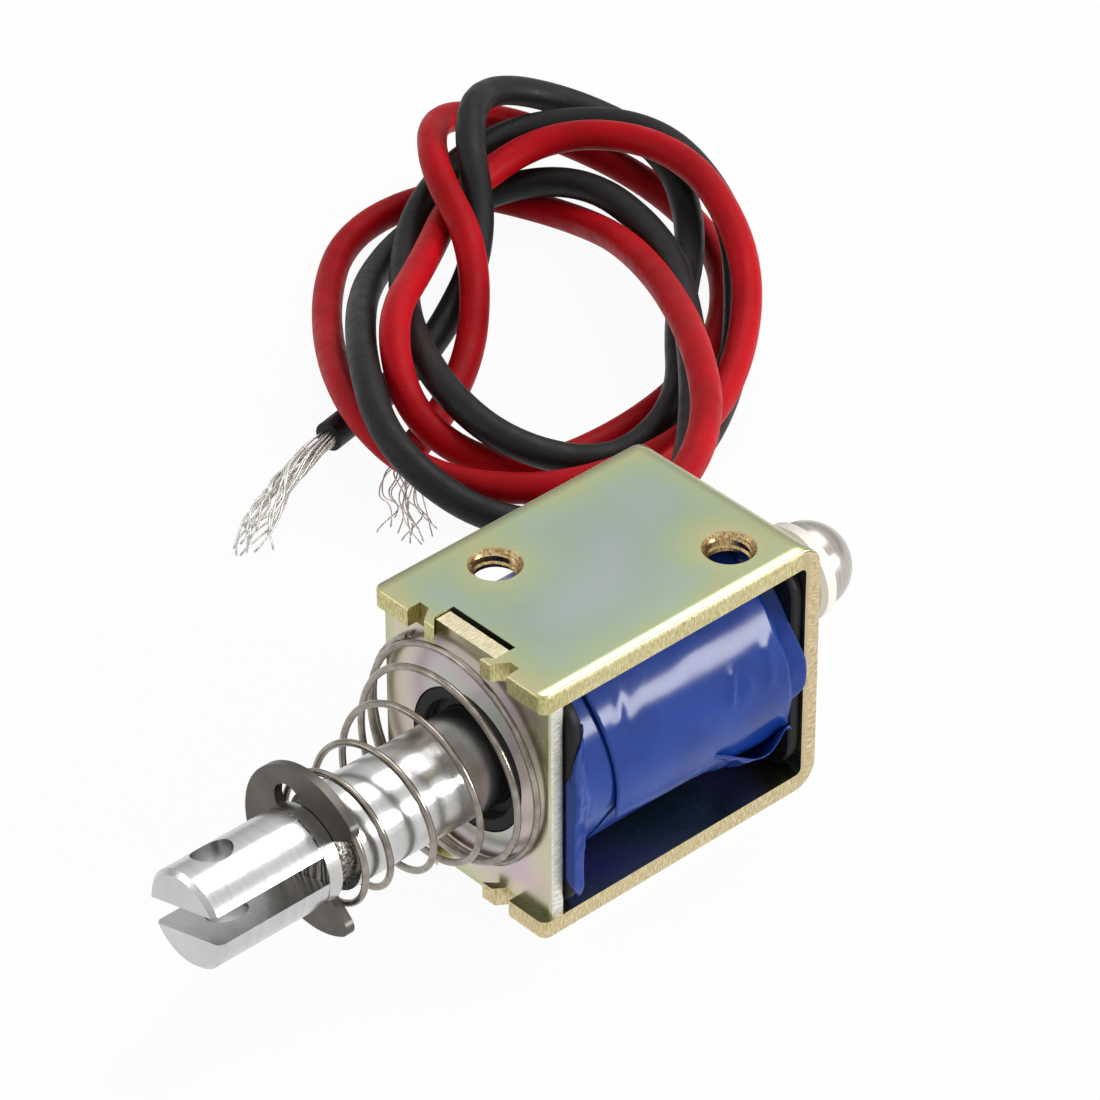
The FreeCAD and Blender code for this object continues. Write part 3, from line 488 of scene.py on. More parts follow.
zincLook = {
    "holes": ((-4.75, -5.2), (4.75, 7.8)),  # mm, centres of the mounting threads
    "bore": (2.0, 1.85), "roofFrom": 19.3,  # mm, radii and height where the thread's wall begins
    "outside": ((2, 20.4, "GREATER_THAN"), (2, 0.6, "LESS_THAN"), (1, 12.4, "GREATER_THAN")),  # axis and mm
    "film": (-0.5, 8.0),  # mm in from the edges, over which the film's colours follow each other
    "holeFilm": 1.35,  # mm, radius round a hole that counts as an edge
    "easeSides": 3.0, "easeHoles": 2.0,  # mm, over which two edges' colours run together
    "cloud": 9.0, "swing": 1.8,  # mm, size of the film's clouds, and how far they push the colours
    "rolling": (3.5, 0.16, 2.0),  # mm between rolling lines; the real ones are finer and wouldn't show
    "rollingDepth": 0.012,  # mm
    "rimWidth": 0.95,  # mm, the edge that the blanking die pulls down
    "cutFacing": (0.72, 0.92),  # how squarely a sheared face looks sideways
    "openEnd": (-10.5, -11.0), "rearWall": (11.2, 11.8), "bottom": (3.0, 1.0),  # mm
    "satin": (0.24, 0.34), "cutRoughness": 0.4,
    "strip": {
        "film": ((0, "#C4BC96"), (0.1, "#B9BB8E"), (0.28, "#AAB795"), (0.5, "#A1B2A1"), (0.78, "#A5B1AC"),
                 (1, "#ACB0B5")),
        "sheared": ((0.28, "#A99F78"), (0.5, "#D0C69F"), (0.72, "#F0E9D0")),
        "tearFlat": (0.13, 0.13, 0.5), "tearUp": (0.13, 0.5, 0.13),  # mm, size of the tear marks each way
        "tearDepth": 0.032,  # mm
        "rimDepth": 0.26,  # mm
        "across": ((0, 0, 8.6), (1, 0, 13.0)),  # axis, middle and half size in mm of the face that shows
    },
    "plate": {
        "film": ((0, "#B5B78D"), (0.14, "#C8C4A8"), (0.34, "#CCBDB2"), (0.52, "#C6B5BD"), (0.7, "#BBC0B7"),
                 (0.86, "#CBC3B1"), (1, "#C6BCC4")),
        "sheared": ((0.3, "#BDBDAF"), (0.5, "#DFDED2"), (0.7, "#F8F7F0")),
        "tearFlat": (0.14, 0.7, 0.14), "tearUp": (0.14, 0.7, 0.14),
        "tearDepth": 0.03,
        "rimDepth": 0.026,
        "across": ((0, 0, 8.4), (2, axisHeight, 10.5)),
        "tabTint": "#EDE3C9", "tabFrom": 9.2,  # mm above and below the axis
    },
    "inner": ((0.36, "#98A67C"), (0.5, "#ADA48C"), (0.64, "#AF93AC")),  # film pooled dull inside the bend
    "frontToRear": (-13.0, 13.0),  # mm, the strip's ends, for the next line
    # greener at the open end is the edges' own colour; the pink towards the rear is painted reflection of
    # the floor
    "cutTintAndFloorReflection": ((0.05, "#EFF0D2"), (0.14, "#FDFBE9"), (0.9, "#FDFBE9"), (0.96, "#FFF3EE")),  # front to rear
    # paler along the bottom: painted reflection of the floor
    "floorReflectionTint": "#FFF7EE",
    "threadWall": ((0.3, "#6F5636"), (0.5, "#B79A66"), (0.7, "#E9D9AE")),
}


def filmThickness(tree, place, parts, look, across, holes):
    # Distance in from the face's edges and the holes, in metres, swung about by clouds
    fromSides, fromHoles = [], []
    for axis, middle, half in across:
        offset = addNode(tree, "Math SUBTRACT", {0: parts[axis], 1: middle * mm})
        out = addNode(tree, "Math ABSOLUTE", {0: offset})
        fromSides.append(addNode(tree, "Math SUBTRACT", {0: half * mm, 1: out}))
    inside = joined(tree, "SMOOTH_MIN", fromSides, look["easeSides"] * mm)
    for x, y in holes:
        offset = addNode(tree, "VectorMath SUBTRACT", {0: place, 1: (x * mm, y * mm, 0)})
        flat = addNode(tree, "VectorMath MULTIPLY", {0: offset, 1: (1, 1, 0)})
        fromHoles.append(addNode(tree, "VectorMath LENGTH", {0: flat}).outputs["Value"])
    nearest = None
    if holes:
        nearest = joined(tree, "MINIMUM", fromHoles)
        ring = addNode(tree, "Math SUBTRACT", {0: nearest, 1: look["holeFilm"] * mm})
        inside = joined(tree, "SMOOTH_MIN", [inside, ring], look["easeHoles"] * mm)
    cloud = addNode(tree, "TexNoise", {"Vector": place, "Scale": perMm(look["cloud"]), "Detail": 3,
                                       "Distortion": 0.5})
    swing = look["swing"] * mm
    swung = addNode(tree, "MapRange", {0: cloud, 1: 0.25, 2: 0.75, 3: -swing, 4: swing})
    film = addNode(tree, "Math ADD", {0: inside, 1: swung})
    return film, cloud, fromSides[0], nearest


def zincFinish(name, look, kind):
    # Rolled steel strip with yellow passivated zinc: a metal mirror gone soft, tinted by a film that turns
    # yellow towards edges and holes and grey or lilac inside, with faint rolling lines and a rolled-over rim
    finish, tree, shader, place = newFinish(name, {"Metallic": 1.0})
    style = look[kind]
    onStrip = kind == "strip"
    parts = addNode(tree, "SeparateXYZ", {0: place}).outputs
    film, cloud, fromSide, nearest = filmThickness(
        tree, place, parts, look, style["across"], look["holes"] if onStrip else ())
    share = addNode(tree, "MapRange", {0: film, **span(look["film"])})
    tint = addNode(tree, "ValToRGB", {0: share}, style["film"])
    if onStrip:
        outside = joined(tree, "MAXIMUM", [
            addNode(tree, f"Math {way}", {0: parts[axis], 1: limit * mm})
            for axis, limit, way in look["outside"]])
        pooled = addNode(tree, "ValToRGB", {0: cloud}, look["inner"])
        tint = addNode(tree, "Mix", {0: outside, 6: pooled, 7: tint}, data_type="RGBA").outputs[2]

    # Sheared faces: the sides and the open end of the strip, or all four sides of the plate
    normal = addNode(tree, "TexCoord").outputs["Normal"]
    facing = addNode(tree, "VectorMath ABSOLUTE", {0: normal})
    sides = addNode(tree, "CombineXYZ", {0: 1.0, 2: 0.0 if onStrip else 1.0})
    if onStrip:
        setInputs(tree, sides, {1: addNode(tree, "MapRange", {0: parts[1], **span(look["openEnd"])})})
    turned = addNode(tree, "VectorMath DOT_PRODUCT", {0: facing, 1: sides}).outputs["Value"]
    cut = addNode(tree, "MapRange", {0: turned, **span(look["cutFacing"], 1)})
    rearWall = addNode(tree, "MapRange", {0: parts[1], **span(look["rearWall"])})
    flat, up = [stretched(tree, place, style[way]) for way in ("tearFlat", "tearUp")]
    tearPlace = addNode(tree, "Mix", {0: rearWall, 4: flat, 5: up}, data_type="VECTOR").outputs[1]
    tear = addNode(tree, "TexNoise", {"Vector": tearPlace, "Scale": 1, "Detail": 4, "Roughness": 0.6,
                                      "Distortion": 0.3})
    bare = addNode(tree, "ValToRGB", {0: tear}, style["sheared"])
    if onStrip:  # greener at the open end, pinker at the rear and along the bottom
        # the pink at the rear and the paler band along the bottom are painted reflection of the floor
        along = addNode(tree, "MapRange", {0: parts[1], **span(look["frontToRear"])})
        tintAndFloorReflection = addNode(tree, "ValToRGB", {0: along}, look["cutTintAndFloorReflection"])
        bottom = addNode(tree, "MapRange", {0: parts[2], **span(look["bottom"])})
        low = {0: bottom, 6: tintAndFloorReflection, 7: hexColour(look["floorReflectionTint"])}
        tintAndFloorReflection = addNode(tree, "Mix", low, data_type="RGBA").outputs[2]
        tinted = {0: 1.0, 6: bare, 7: tintAndFloorReflection}
    else:  # the tabs' ends are yellower than the plate's sides
        rise = addNode(tree, "Math SUBTRACT", {0: parts[2], 1: axisHeight * mm})
        height = addNode(tree, "Math ABSOLUTE", {0: rise})
        onTab = addNode(tree, "Math GREATER_THAN", {0: height, 1: style["tabFrom"] * mm})
        tinted = {0: onTab, 6: bare, 7: hexColour(style["tabTint"])}
    bare = addNode(tree, "Mix", tinted, data_type="RGBA", blend_type="MULTIPLY").outputs[2]
    colour = addNode(tree, "Mix", {0: cut, 6: tint, 7: bare}, data_type="RGBA").outputs[2]
    if onStrip:  # cut threads in the roof: the bore's wall is mottled darker gold-brown
        nearBore = addNode(tree, "MapRange", {0: nearest, **span(look["bore"])})
        inRoof = addNode(tree, "Math GREATER_THAN", {0: parts[2], 1: look["roofFrom"] * mm})
        inBore = addNode(tree, "Math MULTIPLY", {0: nearBore, 1: inRoof})
        wall = addNode(tree, "ValToRGB", {0: tear}, look["threadWall"])
        colour = addNode(tree, "Mix", {0: inBore, 6: colour, 7: wall}, data_type="RGBA").outputs[2]

    # Heights in millimetres: rolling lines, tear marks on the sheared faces, and the rolled-over rim
    rolled = stretched(tree, place, look["rolling"])
    rolling = addNode(tree, "TexNoise", {"Vector": rolled, "Scale": 1, "Detail": 3})
    lines = addNode(tree, "Math MULTIPLY", {0: rolling, 1: look["rollingDepth"]})
    marks = addNode(tree, "Math MULTIPLY", {0: tear, 1: style["tearDepth"]})
    rough = addNode(tree, "Mix", {0: cut, 2: lines, 3: marks})
    rim = addNode(tree, "MapRange", {0: fromSide, **span((look["rimWidth"], 0))})
    fall = addNode(tree, "Math POWER", {0: rim, 1: 2.0})
    drop = addNode(tree, "Math MULTIPLY", {0: fall, 1: -style["rimDepth"]})
    drop = addNode(tree, "Mix", {0: cut, 2: drop, 3: 0.0})
    if onStrip:  # the inner side keeps sharp edges
        drop = addNode(tree, "Math MULTIPLY", {0: drop, 1: outside})
    addBump(tree, shader, addNode(tree, "Math ADD", {0: rough, 1: drop}))
    low, high = look["satin"]
    satin = addNode(tree, "MapRange", {0: cloud, 1: 0.3, 2: 0.7, 3: low, 4: high})
    dull = addNode(tree, "Mix", {0: cut, 2: satin, 3: look["cutRoughness"]})
    setInputs(tree, shader, {"Base Color": colour, "Roughness": dull})
    return finish


yokeZinc = zincFinish("yellowZincStrip", zincLook, "strip")
dress(yokeZinc, "yoke_frame", "fixed_core")
dress(zincFinish("yellowZincPlate", zincLook, "plate"), "front_plate")
print("scene: plated steel dressed")


# Thread ridges in the two mounting holes

threadLook = {
    "crest": 1.5, "root": 1.68, "pitch": 0.7,  # mm, an M4 coarse thread seen from above
    "flank": 0.252,  # share of the pitch on each side of the crest
    "low": 19.6, "high": 20.72,  # mm, between the roof's underside and its countersink
    "stepsPerTurn": 56, "fadeSteps": 8,
}


def makeThreads(look):
    points, faces = [], []
    root, low, climb = look["root"], look["low"], look["high"] - look["low"]
    count = round(climb / look["pitch"] * look["stepsPerTurn"])
    flank = look["pitch"] * look["flank"]
    for centreX, centreY in zincLook["holes"]:
        start = len(points)
        for i in range(count + 1):
            angle = 2 * math.pi * i / look["stepsPerTurn"]
            fade = min(1, i / look["fadeSteps"], (count - i) / look["fadeSteps"])  # runs out at both ends
            crest = root + (look["crest"] - root) * fade
            middle = low + climb * i / count
            for radius, z in ((root, middle - flank), (crest, middle), (root, middle + flank)):
                x, y = centreX + radius * math.cos(angle), centreY + radius * math.sin(angle)
                points.append(Vector((x, y, z)) * mm)
        faces.extend(gridFaces(count + 1, 3, closedColumns=True, start=start))
        last = start + count * 3
        faces += [(start, start + 1, start + 2), (last + 2, last + 1, last)]
    addMesh("mountingThreadRidges", points, faces, yokeZinc, "solenoid_frame", smooth=False)


makeThreads(threadLook)
print("scene: threads cut")


# Turned and bought-in metal

turnedLook = {  # node: name, light and dark colour, roughness, size and depth of the tool marks in mm
    "plunger": ("brightNickelPlate", "#CDCDCC", "#C0C0BF", 0.25, 0.5, 0.002),
    "push_rod": ("groundStainlessRod", "#D6D4D0", "#B6B3AE", 0.2, 0.15, 0.004),
    "push_head": ("satinNickelHead", "#C6BFB7", "#B1AAA2", 0.26, 0.2, 0.004),
    "e_clip": ("darkPhosphateClip", "#66625D", "#4E4A46", 0.4, 0.5, 0.008),
}
plungerLook = {
    "peel": (0.55, 0.013),  # mm, size and depth of the plating's orange peel
    "groove": (-26.65, -25.0), "grooveRadius": 3.3,  # mm, the clip groove, still rough from the tool
    "slotEnd": (-27.8, 0.06),  # mm, wall at the end of the clevis slot, with slanting saw marks
    "sawMarks": (0.28, 3, 3), "sawSlant": 0.6,  # mm and radians
    "pits": 0.22, "wornDepth": 0.09,  # mm
    # dark colours in the groove and at the slot's end: tool marks, with painted shade in these recesses
    "recessShade": ((0.35, "#3A352F"), (0.5, "#7E776E"), (0.65, "#DEDAD3")), "wornRoughness": 0.34,
}


def turnedFinish(name, light, dark, roughness, step, depth, look=None):
    # Turned steel: fine tool marks run round the axis and break the mirror into soft rings. The
    # plunger's plating adds a slight orange peel that makes the edges of what it mirrors waver.
    finish, tree, shader, place = newFinish(name, {"Metallic": 1.0, "Roughness": roughness})
    around = stretched(tree, place, (3, step, 3))
    rings = addNode(tree, "TexNoise", {"Vector": around, "Scale": 1, "Detail": 4})
    colour = addNode(tree, "ValToRGB", {0: rings}, ((0.25, dark), (0.75, light)))
    height = addNode(tree, "Math MULTIPLY", {0: rings, 1: depth})
    if look:
        size, rise = look["peel"]
        lumps = addNode(tree, "TexNoise", {"Vector": place, "Scale": perMm(size), "Detail": 3,
                                           "Roughness": 0.65})
        height = addNode(tree, "Math MULTIPLY_ADD", {0: lumps, 1: rise, 2: height})
        recessShade, marks, shadedMarks = plungerRecesses(tree, place, look)
        # painted shade, with tool marks, in the clip groove and at the slot's end
        colour = addNode(tree, "Mix", {0: recessShade, 6: colour, 7: shadedMarks}, data_type="RGBA").outputs[2]
        polish = addNode(tree, "Mix", {0: recessShade, 2: roughness, 3: look["wornRoughness"]})
        height = addNode(tree, "Mix", {0: recessShade, 2: height, 3: marks})
        setInputs(tree, shader, {"Roughness": polish})
    setInputs(tree, shader, {"Base Color": colour})
    addBump(tree, shader, height)
    return finish


def plungerRecesses(tree, place, look):  # where the clip groove and the slot's end are, their relief and colour
    along = addNode(tree, "SeparateXYZ", {0: place}).outputs[1]
    offAxis = addNode(tree, "VectorMath SUBTRACT", {0: place, 1: (0, 0, axisHeight * mm)})
    flat = addNode(tree, "VectorMath MULTIPLY", {0: offAxis, 1: (1, 0, 1)})
    radius = addNode(tree, "VectorMath LENGTH", {0: flat}).outputs["Value"]
    low, high = look["groove"]
    middle, half = (low + high) / 2 * mm, (high - low) / 2 * mm
    offGroove = addNode(tree, "Math COMPARE", {0: along, 1: middle, 2: half})
    deep = addNode(tree, "Math LESS_THAN", {0: radius, 1: look["grooveRadius"] * mm})
    inGroove = addNode(tree, "Math MULTIPLY", {0: offGroove, 1: deep})
    pits = addNode(tree, "TexNoise", {"Vector": place, "Scale": perMm(look["pits"]), "Detail": 3,
                                      "Roughness": 0.7})
    wall, half = look["slotEnd"]
    atSlotEnd = addNode(tree, "Math COMPARE", {0: along, 1: wall * mm, 2: half * mm})
    slanting = stretched(tree, place, look["sawMarks"], (0, look["sawSlant"], 0))
    saw = addNode(tree, "TexNoise", {"Vector": slanting, "Scale": 1, "Detail": 2})
    recessShade = joined(tree, "MAXIMUM", [inGroove, atSlotEnd])
    marks = addNode(tree, "Mix", {0: atSlotEnd, 2: pits, 3: saw})
    shadedMarks = addNode(tree, "ValToRGB", {0: marks}, look["recessShade"])
    return recessShade, addNode(tree, "Math MULTIPLY", {0: marks, 1: look["wornDepth"]}), shadedMarks


for node, look in turnedLook.items():
    dress(turnedFinish(*look, plungerLook if node == "plunger" else None), node)


def mouldedFinish(name, light, dark, roughness, gloss, grit):
    # Moulded plastic: an even body colour with the faint orange peel of the tool
    shading = {"Roughness": roughness, "IOR": 1.53, "Specular IOR Level": gloss}
    finish, tree, shader, place = newFinish(name, shading)
    mottle(tree, shader, place, 4, 3, (0.3, dark), (0.7, light))
    roughen(tree, shader, place, grit, 0.012)
    return finish


dress(mouldedFinish("whiteNylonWasher", "#F4EEE7", "#EBE3DA", 0.4, 0.5, 0.6), "nylon_washer")

bobbinLook = {  # mm
    "frontFlange": (-10.9, -9.9), "rearFlange": (10.5, 11.5),  # along the axis
    "halfWidth": (9.1, 8.3), "halfHeight": 8.95,  # the rear flange stays behind the yoke's side
    "corner": 2.6, "bevel": 0.12,
    "flangeBore": 4.19,  # radius, inside the tube's wall
    # Inside of the tube, its recessed collar in the plate, and back along the outside: place and radius
    "tube": ((11.5, 3.79), (-11.4, 3.79), (-11.4, 4.5), (-12.1, 4.5), (-12.2, 4.6), (-12.2, 5.35),
             (-12.1, 5.45), (-10.9, 5.45), (-10.9, 4.64), (11.5, 4.64)),
    "sides": 96,
}


def roundedReach(turn, halves, corner):  # from the middle to the edge of a rounded rectangle
    direction = Vector((abs(math.cos(turn)), abs(math.sin(turn))))
    near, far = 0, 2 * max(halves)
    for _ in range(30):
        middle = (near + far) / 2
        over = [max(part * middle - half + corner, 0) for part, half in zip(direction, halves)]
        if math.hypot(*over) > corner:
            far = middle
        else:
            near = middle
    return near


def makeBobbin(look):
    points, faces = [], []
    turns = [2 * math.pi * s / look["sides"] for s in range(look["sides"])]

    def addRing(rows):  # each row gives its place and its radius at every turn
        start = len(points)
        for y, radii in rows:
            for turn, radius in zip(turns, radii):
                points.append(roundAxis(radius, turn, y) * mm)
        faces.extend(gridFaces(len(rows), look["sides"], closedRows=True, closedColumns=True, start=start))

    addRing([(y, [radius] * look["sides"]) for y, radius in look["tube"]])
    bevel = look["bevel"]
    bore = [look["flangeBore"]] * look["sides"]
    for (front, rear), halfWidth in zip((look["frontFlange"], look["rearFlange"]), look["halfWidth"]):
        rim = [roundedReach(turn, (halfWidth, look["halfHeight"]), look["corner"]) for turn in turns]
        inset = [reach - bevel for reach in rim]
        addRing([(rear, bore), (front, bore), (front, inset), (front + bevel, rim), (rear - bevel, rim),
                 (rear, inset)])
    black = mouldedFinish("blackNylonBobbin", "#161617", "#101011", 0.5, 0.2, 0.5)
    bobbin = addMesh("mouldedBobbin", points, faces, black, "solenoid_frame", smooth=False)
    for polygon in bobbin.data.polygons:
        polygon.use_smooth = abs(polygon.normal.y) < 0.3  # round the tube and rims, flat on the flanges
    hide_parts("bobbin")


makeBobbin(bobbinLook)
print("scene: small parts dressed")


# Coil under the tape

def windingFinish():
    # Enamelled copper wire in close turns, 0.3 mm apart
    finish, tree, shader, place = newFinish("enamelledCopperWire", {"Metallic": 1.0, "Roughness": 0.3})
    closeTurns = perMm(0.3) * 2 * math.pi / 20  # the wave node repeats every 2 pi / 20 of its scale
    turns = addNode(tree, "TexWave", {"Vector": place, "Scale": closeTurns}, bands_direction="Y")
    # darker in the hollows between turns: painted shade that follows the bump
    shadedTurns = addNode(tree, "ValToRGB", {0: turns}, ((0, "#5E2A14"), (1, "#B4622F")))
    setInputs(tree, shader, {"Base Color": shadedTurns})
    addBump(tree, shader, turns, 0.08)
    return finish


def tapeFinish():
    # Blue polyester film tape: clear glossy film over pigmented glue, deep blue under one crisp highlight
    shading = {"Roughness": 0.35, "IOR": 1.57, "Specular IOR Level": 0.05, "Coat Weight": 0.45,
               "Coat Roughness": 0.15}
    finish, tree, shader, place = newFinish("bluePolyesterTape", shading)
    mottle(tree, shader, place, 5, 3, (0.25, "#0E2E7A"), (0.5, "#15398A"), (0.8, "#1F4499"))
    roughen(tree, shader, place, 2.2, 0.05, distortion=0.8)
    return finish


dress(windingFinish(), "coil_winding")
blueTape = tapeFinish()

tapeLook = {
    "coil": 8.7,  # mm, radius of the wound coil under the tape
    "leadSide": -10.4, "leadRise": 1.3, "leadRadius": 1.2,  # mm, the leads that the tape ties down
    "film": 0.08,  # mm, film and glue; drawn as one layer where the real tape has several
    "flange": (9.1, 8.95), "flangeCorner": 2.6,  # mm, half width, half height and corner of a bobbin flange
    "frontFlange": (-10.86, -9.9), "rearFlange": (10.5, 11.5),  # mm along the axis, as the tape laps them
    "outer": {
        "edge": ((-7.2, -18), (-6.4, -19), (-0.8, -23), (4.2, -27), (8.1, -31), (9.3, -29.5), (10.1, -23)),
        # Degrees round the coil and mm along it; past 345 degrees the tape is under its own free end
        "front": ((-90, -6.9), (-16, -6.5), (45, -7.1), (290, -7.1), (322, -7.9), (336, -7.2), (348, -6.1),
                  (400, -6.1)),
        "rear": ((-90, 9.6), (-15, 10.15), (9.5, 9.8), (30, 9.35), (60, 9.5), (330, 9.6), (350, 9.1),
                 (400, 9.1)),
        "lastTurn": 384, "standOff": 0.3, "standIn": 0.1,  # degrees, and mm off the coil at first and last
        "freeEnd": (0.34, 3.5),  # mm that the free end lifts, and degrees over which it settles
        "loose": (10, 55), "slack": (4.5, 0.1),  # degrees round the side that shows; mm, size and height
        "stepAround": 2.5, "columns": 54,
    },
    "under": {
        "frontLift": ((-52, 0), (-44, 1), (33, 1), (39, 0)),  # degrees where it rises to the front rim,
        "frontReach": ((-42, 0), (-36, 1), (22, 1), (36, 0)),  # where it laps over that rim
        "frontFold": ((-40, 0), (-36, 1), (14, 1), (22, 0)),  # and where it folds down towards the plate
        "slope": ((-40, 1.0), (0, 0.9), (25, 0.35)),  # mm along the axis that the rise takes
        "plateSide": 8.45,  # mm from the axis, where the fold lies against the plate
        "rearReach": ((-13, 0), (-3, 1), (6, 1), (30, 0)),  # share of the lap past the rear flange's face
        "rearRise": ((-16, 0), (-4, 0.5), (30, 0.55), (60, 0.6), (90, 0)),  # mm off the coil at the rear
        "stepAround": 2.0,
        "clear": (0.03, 0.05),  # mm off the front and the rear flange
        "tuck": (0.06, 0.01),  # mm that the fold leans, and that its rows stand apart
        "slopeRoom": 3.4, "rearRoom": 0.9, "rearLap": 0.75,  # mm along the axis
        "steps": (4, 6, 14, 12, 10),  # rows on the face, the rim, the slope, the coil and at the rear
        "slack": (1.3, 0.16), "rearSlack": (1.0, 0.1), "rimCrumple": 0.22,  # mm
    },
    # Creases: start and end as (mm along the axis, degrees round the coil), half width and height in mm
    "creases": (
        ((-4.75, 38), (-5.35, 27), 0.22, 0.12), ((-3.9, 41), (-4.5, 30), 0.5, -0.07),
        ((4.8, 21), (4.2, 8), 0.2, 0.2), ((5.3, 20), (4.8, 9), 0.28, -0.14),
        ((5.9, 12.5), (6.0, 10.5), 0.3, 0.14), ((8.25, 25), (8.0, 8), 0.35, 0.14),
        ((1.5, 42), (8.8, 47), 1.1, 0.13), ((-2.0, -4), (6.5, -12), 1.4, 0.05),
    ),
    "folds": (  # the same for the lap over the front flange
        ((-9.8, 28), (-9.25, 0), 0.28, 0.16), ((-9.25, 0), (-9.85, -12), 0.28, 0.2),
        ((-9.85, -12), (-9.6, -27), 0.3, 0.18), ((-10.5, 12), (-10.4, -6), 0.3, 0.12),
        ((-8.5, -4), (-7.9, -26), 0.4, 0.1), ((-8.9, -22), (-8.0, -40), 0.45, 0.18),
    ),
    "ruffle": (  # lip of torn tape under the rear of the coil: x, y, z in mm
        (8.35, 2.2, 8.0), (8.75, 3.4, 7.5), (8.9, 4.9, 6.5), (8.95, 6.9, 5.3), (8.95, 8.3, 5.2),
        (8.9, 9.2, 6.0), (8.85, 9.7, 6.7), (8.8, 10.1, 6.5), (8.6, 10.4, 5.9)),
    "lip": {"root": (-34, -26), "sag": 0.55, "ripple": 0.1, "crumple": 0.5,  # degrees and mm
            "steps": (6, 8), "seed": 5},
}


def between(stops, place):  # value at a place along pairs of (place, value), eased between them
    if place <= stops[0][0]:
        return stops[0][1]
    for (low, first), (high, second) in zip(stops, stops[1:]):
        if place <= high:
            share = (place - low) / (high - low)
            return first + (second - first) * share * share * (3 - 2 * share)
    return stops[-1][1]


def clamped(value):
    return min(max(value, 0), 1)


def creaseHeight(creases, y, turn):
    height = 0
    here = Vector((y, tapeLook["coil"] * math.radians(turn)))
    for start, end, halfWidth, rise in creases:
        a, b = (Vector((at, tapeLook["coil"] * math.radians(angle))) for at, angle in (start, end))
        share = clamped((here - a).dot(b - a) / (b - a).length_squared)
        away = (here - a.lerp(b, share)).length
        height += rise * math.exp(-(away / halfWidth) ** 2)
    return height


def slackHeight(y, turn, size, rise):  # slow swells where the film isn't stuck flat
    reach = tapeLook["coil"] / size
    angle = math.radians(turn)
    return rise * noise.noise(Vector((reach * math.cos(angle), y / size, reach * math.sin(angle))))


def beltPoint(y, turn, stand):  # tape pulled tight round the coil and the leads, by the way that it faces
    look = tapeLook
    facing = Vector((math.cos(math.radians(turn)), math.sin(math.radians(turn))))
    circles = [(0, 0, look["coil"])]
    circles += [(look["leadSide"], rise * look["leadRise"], look["leadRadius"]) for rise in (1, -1)]
    x, z, radius = max(circles, key=lambda circle: circle[0] * facing.x + circle[1] * facing.y + circle[2])
    return Vector((x + (radius + stand) * facing.x, y, axisHeight + z + (radius + stand) * facing.y))


def addFilm(name, rows, thickness, closed=False):  # closed thin sheet from rows of points in mm
    count, columns = len(rows), len(rows[0])
    outside, inside = [], []
    for i, row in enumerate(rows):
        before = rows[(i - 1) % count if closed else max(i - 1, 0)]
        after = rows[(i + 1) % count if closed else min(i + 1, count - 1)]
        for j, point in enumerate(row):
            along = after[j] - before[j]
            across = row[min(j + 1, columns - 1)] - row[max(j - 1, 0)]
            outside.append(point * mm)
            inside.append((point - across.cross(along).normalized() * thickness) * mm)
    shift = len(outside)
    faces = gridFaces(count, columns, closedRows=closed)
    faces += [tuple(shift + k for k in reversed(face)) for face in faces]
    rims = [(i * columns + j, (i + 1) % count * columns + j, step)
            for i in range(count if closed else count - 1) for j, step in ((0, 1), (columns - 1, -1))]
    if not closed:
        rims += [(i * columns + j, i * columns + j + 1, step)
                 for i, step in ((0, -1), (count - 1, 1)) for j in range(columns - 1)]
    for a, b, step in rims:  # a step of -1 turns the face over
        faces.append((a, a + shift, b + shift, b)[::step])
    piece = addMesh(name, outside + inside, faces, blueTape, "solenoid_frame")
    work = bmesh.new()
    work.from_mesh(piece.data)
    bmesh.ops.recalc_face_normals(work, faces=work.faces)
    work.to_mesh(piece.data)
    work.free()
    return piece


def makeOuterTape(look):
    outer = look["outer"]
    first = min(angle for _, angle in outer["edge"])
    count = round((outer["lastTurn"] - first) / outer["stepAround"])
    frontMiddle, rearMiddle = between(outer["front"], 0), between(outer["rear"], 0)
    aimed, width = outer["loose"]
    lift, settling = outer["freeEnd"]
    rows = []
    for i in range(count + 1):
        row = []
        for j in range(outer["columns"] + 1):
            share = j / outer["columns"]
            start = between(outer["edge"], frontMiddle + share * (rearMiddle - frontMiddle))
            turn = start + (outer["lastTurn"] - start) * i / count
            low, high = between(outer["front"], turn), between(outer["rear"], turn)
            y = low + share * (high - low)
            wound = (turn - start) / 360
            stand = outer["standOff"] + (outer["standIn"] - outer["standOff"]) * min(wound, 1)
            loose = max(0, 1 - abs(turn - aimed) / width)  # only the side that shows has room to swell
            stand += loose * (creaseHeight(look["creases"], y, turn) + slackHeight(y, turn, *outer["slack"]))
            stand += lift * math.exp(-(turn - start) / settling)
            row.append(beltPoint(y, turn, stand))
        rows.append(row)
    tape = addFilm("outerTapeWrap", rows, look["film"])
    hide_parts("tape_outer_wrap")


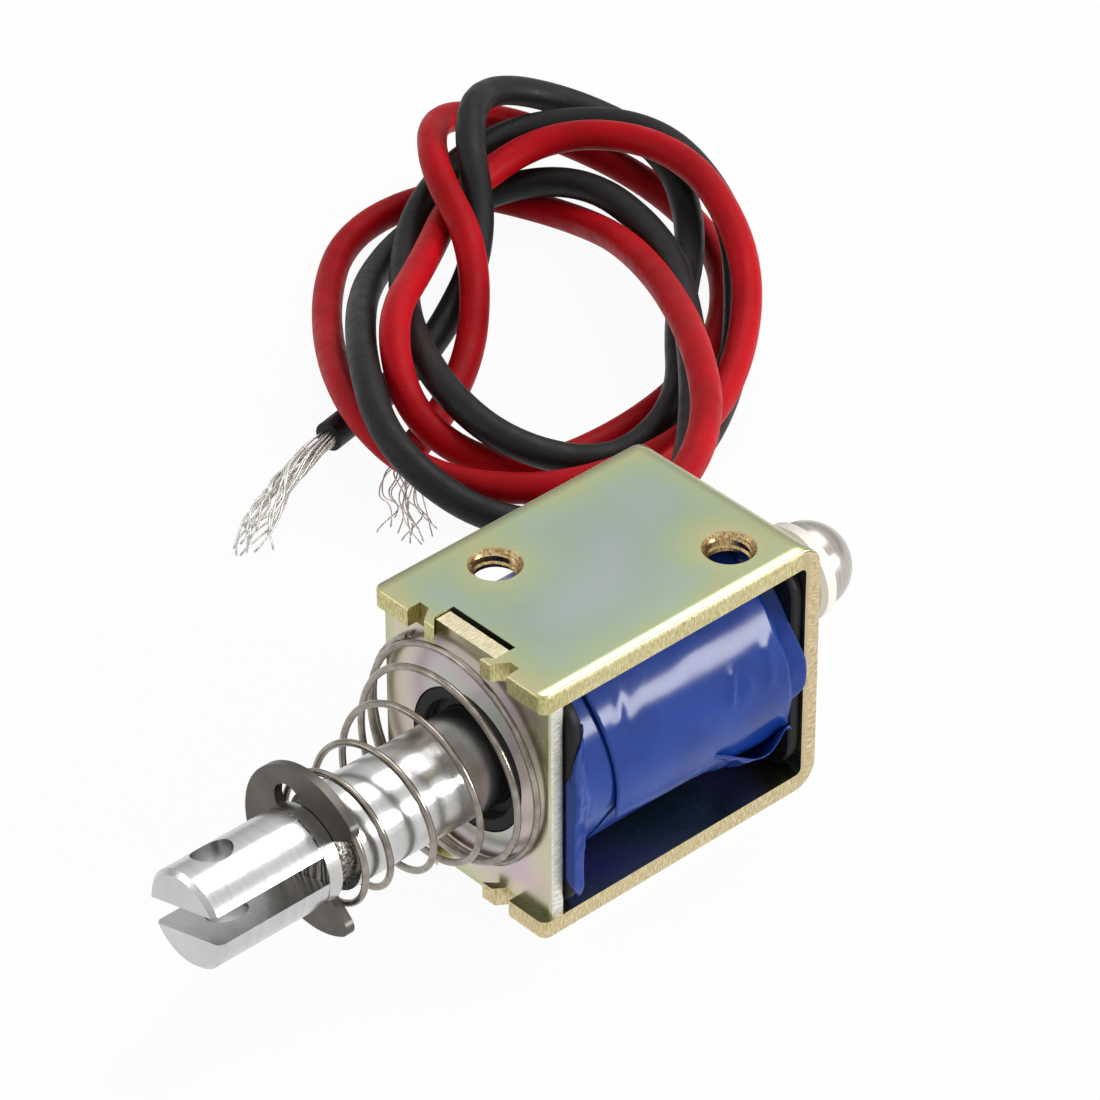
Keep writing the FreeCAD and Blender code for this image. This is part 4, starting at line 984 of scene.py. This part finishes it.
def makeUnderTape(look):
    under, coil = look["under"], look["coil"]
    frontLow, frontHigh = look["frontFlange"]
    rearLow = look["rearFlange"][0]
    frontGap, rearGap = under["clear"]
    slopeEnd, rearEase = frontHigh + under["slopeRoom"], rearLow - under["rearRoom"]
    down, *steps = under["steps"]
    lean, apart = under["tuck"]
    rows = []
    count = round(360 / under["stepAround"])
    for i in range(count):
        turn = -180 + 360 * i / count
        lift, reach, fold, slopeLength, rearReach, rearRise = (between(under[name], turn) for name in (
            "frontLift", "frontReach", "frontFold", "slope", "rearReach", "rearRise"))
        angle = math.radians(turn)
        rim = roundedReach(angle, look["flange"], look["flangeCorner"]) + 0.1
        front = frontHigh + frontGap + (frontLow - frontHigh) * reach
        rear = rearLow - rearGap + under["rearLap"] * rearReach
        low = rim + (under["plateSide"] / math.cos(angle) - rim) * fold if fold else rim
        if not lift:
            low = rim = coil
        edge = front - lean * fold
        places = [(edge - apart * (down - k), low + (rim - low) * k / down) for k in range(down)]
        ends = (front, frontHigh, slopeEnd, rearEase, rear)
        along = [a + (b - a) * k / n for a, b, n in zip(ends, ends[1:], steps) for k in range(n)]
        for y in along + [rear]:
            slope = clamped((frontHigh + slopeLength - y) / slopeLength) ** 1.7 * lift
            flared = coil + (rim - coil) * slope
            radius = flared + rearRise * clamped((y - rearEase) / (rear - rearEase))
            crumple = creaseHeight(look["folds"], y, turn) + slackHeight(y, turn, *under["slack"])
            radius += crumple * lift * clamped((frontHigh + slopeLength + 1 - y) / 1.5)
            radius += rearReach * slackHeight(y, turn, *under["rearSlack"]) * clamped((y - rearEase) / 0.5)
            if y < frontHigh + 0.1:  # crumpled, but never under the rim
                crumple = abs(noise.noise(Vector((y * 1.1, turn * 0.13, 3))))
                radius = max(radius, flared) + under["rimCrumple"] * lift * crumple
            places.append((y, radius))
        rows.append([roundAxis(radius, angle, y) for y, radius in places])
    tape = addFilm("underTapeWrap", rows, look["film"], closed=True)
    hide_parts("tape_under_wrap")


def makeTapeLip(look):
    lip, coil = look["lip"], look["coil"]
    noise.seed_set(lip["seed"])  # without it noise_vector follows the clock
    steps, columns = lip["steps"]
    line = softLine(look["ruffle"], steps)
    level, dip = lip["root"]
    rows = []
    for i, edge in enumerate(line):
        share = i / (len(line) - 1)
        bow = math.sin(math.pi * share)
        angle = math.radians(level + dip * bow ** 0.7)
        root = roundAxis(coil, angle, edge.y)
        row = []
        for k in range(columns + 1):
            t = k / columns
            belly = math.sin(math.pi * t)
            point = edge.lerp(root, t)
            point.z -= lip["sag"] * belly * bow
            point.y += lip["ripple"] * math.sin(9 * share + 3 * t)
            point += lip["crumple"] * belly * noise.noise_vector(edge * 0.9 + Vector((0, 2 * t, 0)))
            row.append(point)
        rows.append(row)
    addFilm("tornTapeLip", rows, look["film"])


makeOuterTape(tapeLook)
makeUnderTape(tapeLook)
makeTapeLip(tapeLook)
print("scene: coil taped")


print("scene: done")
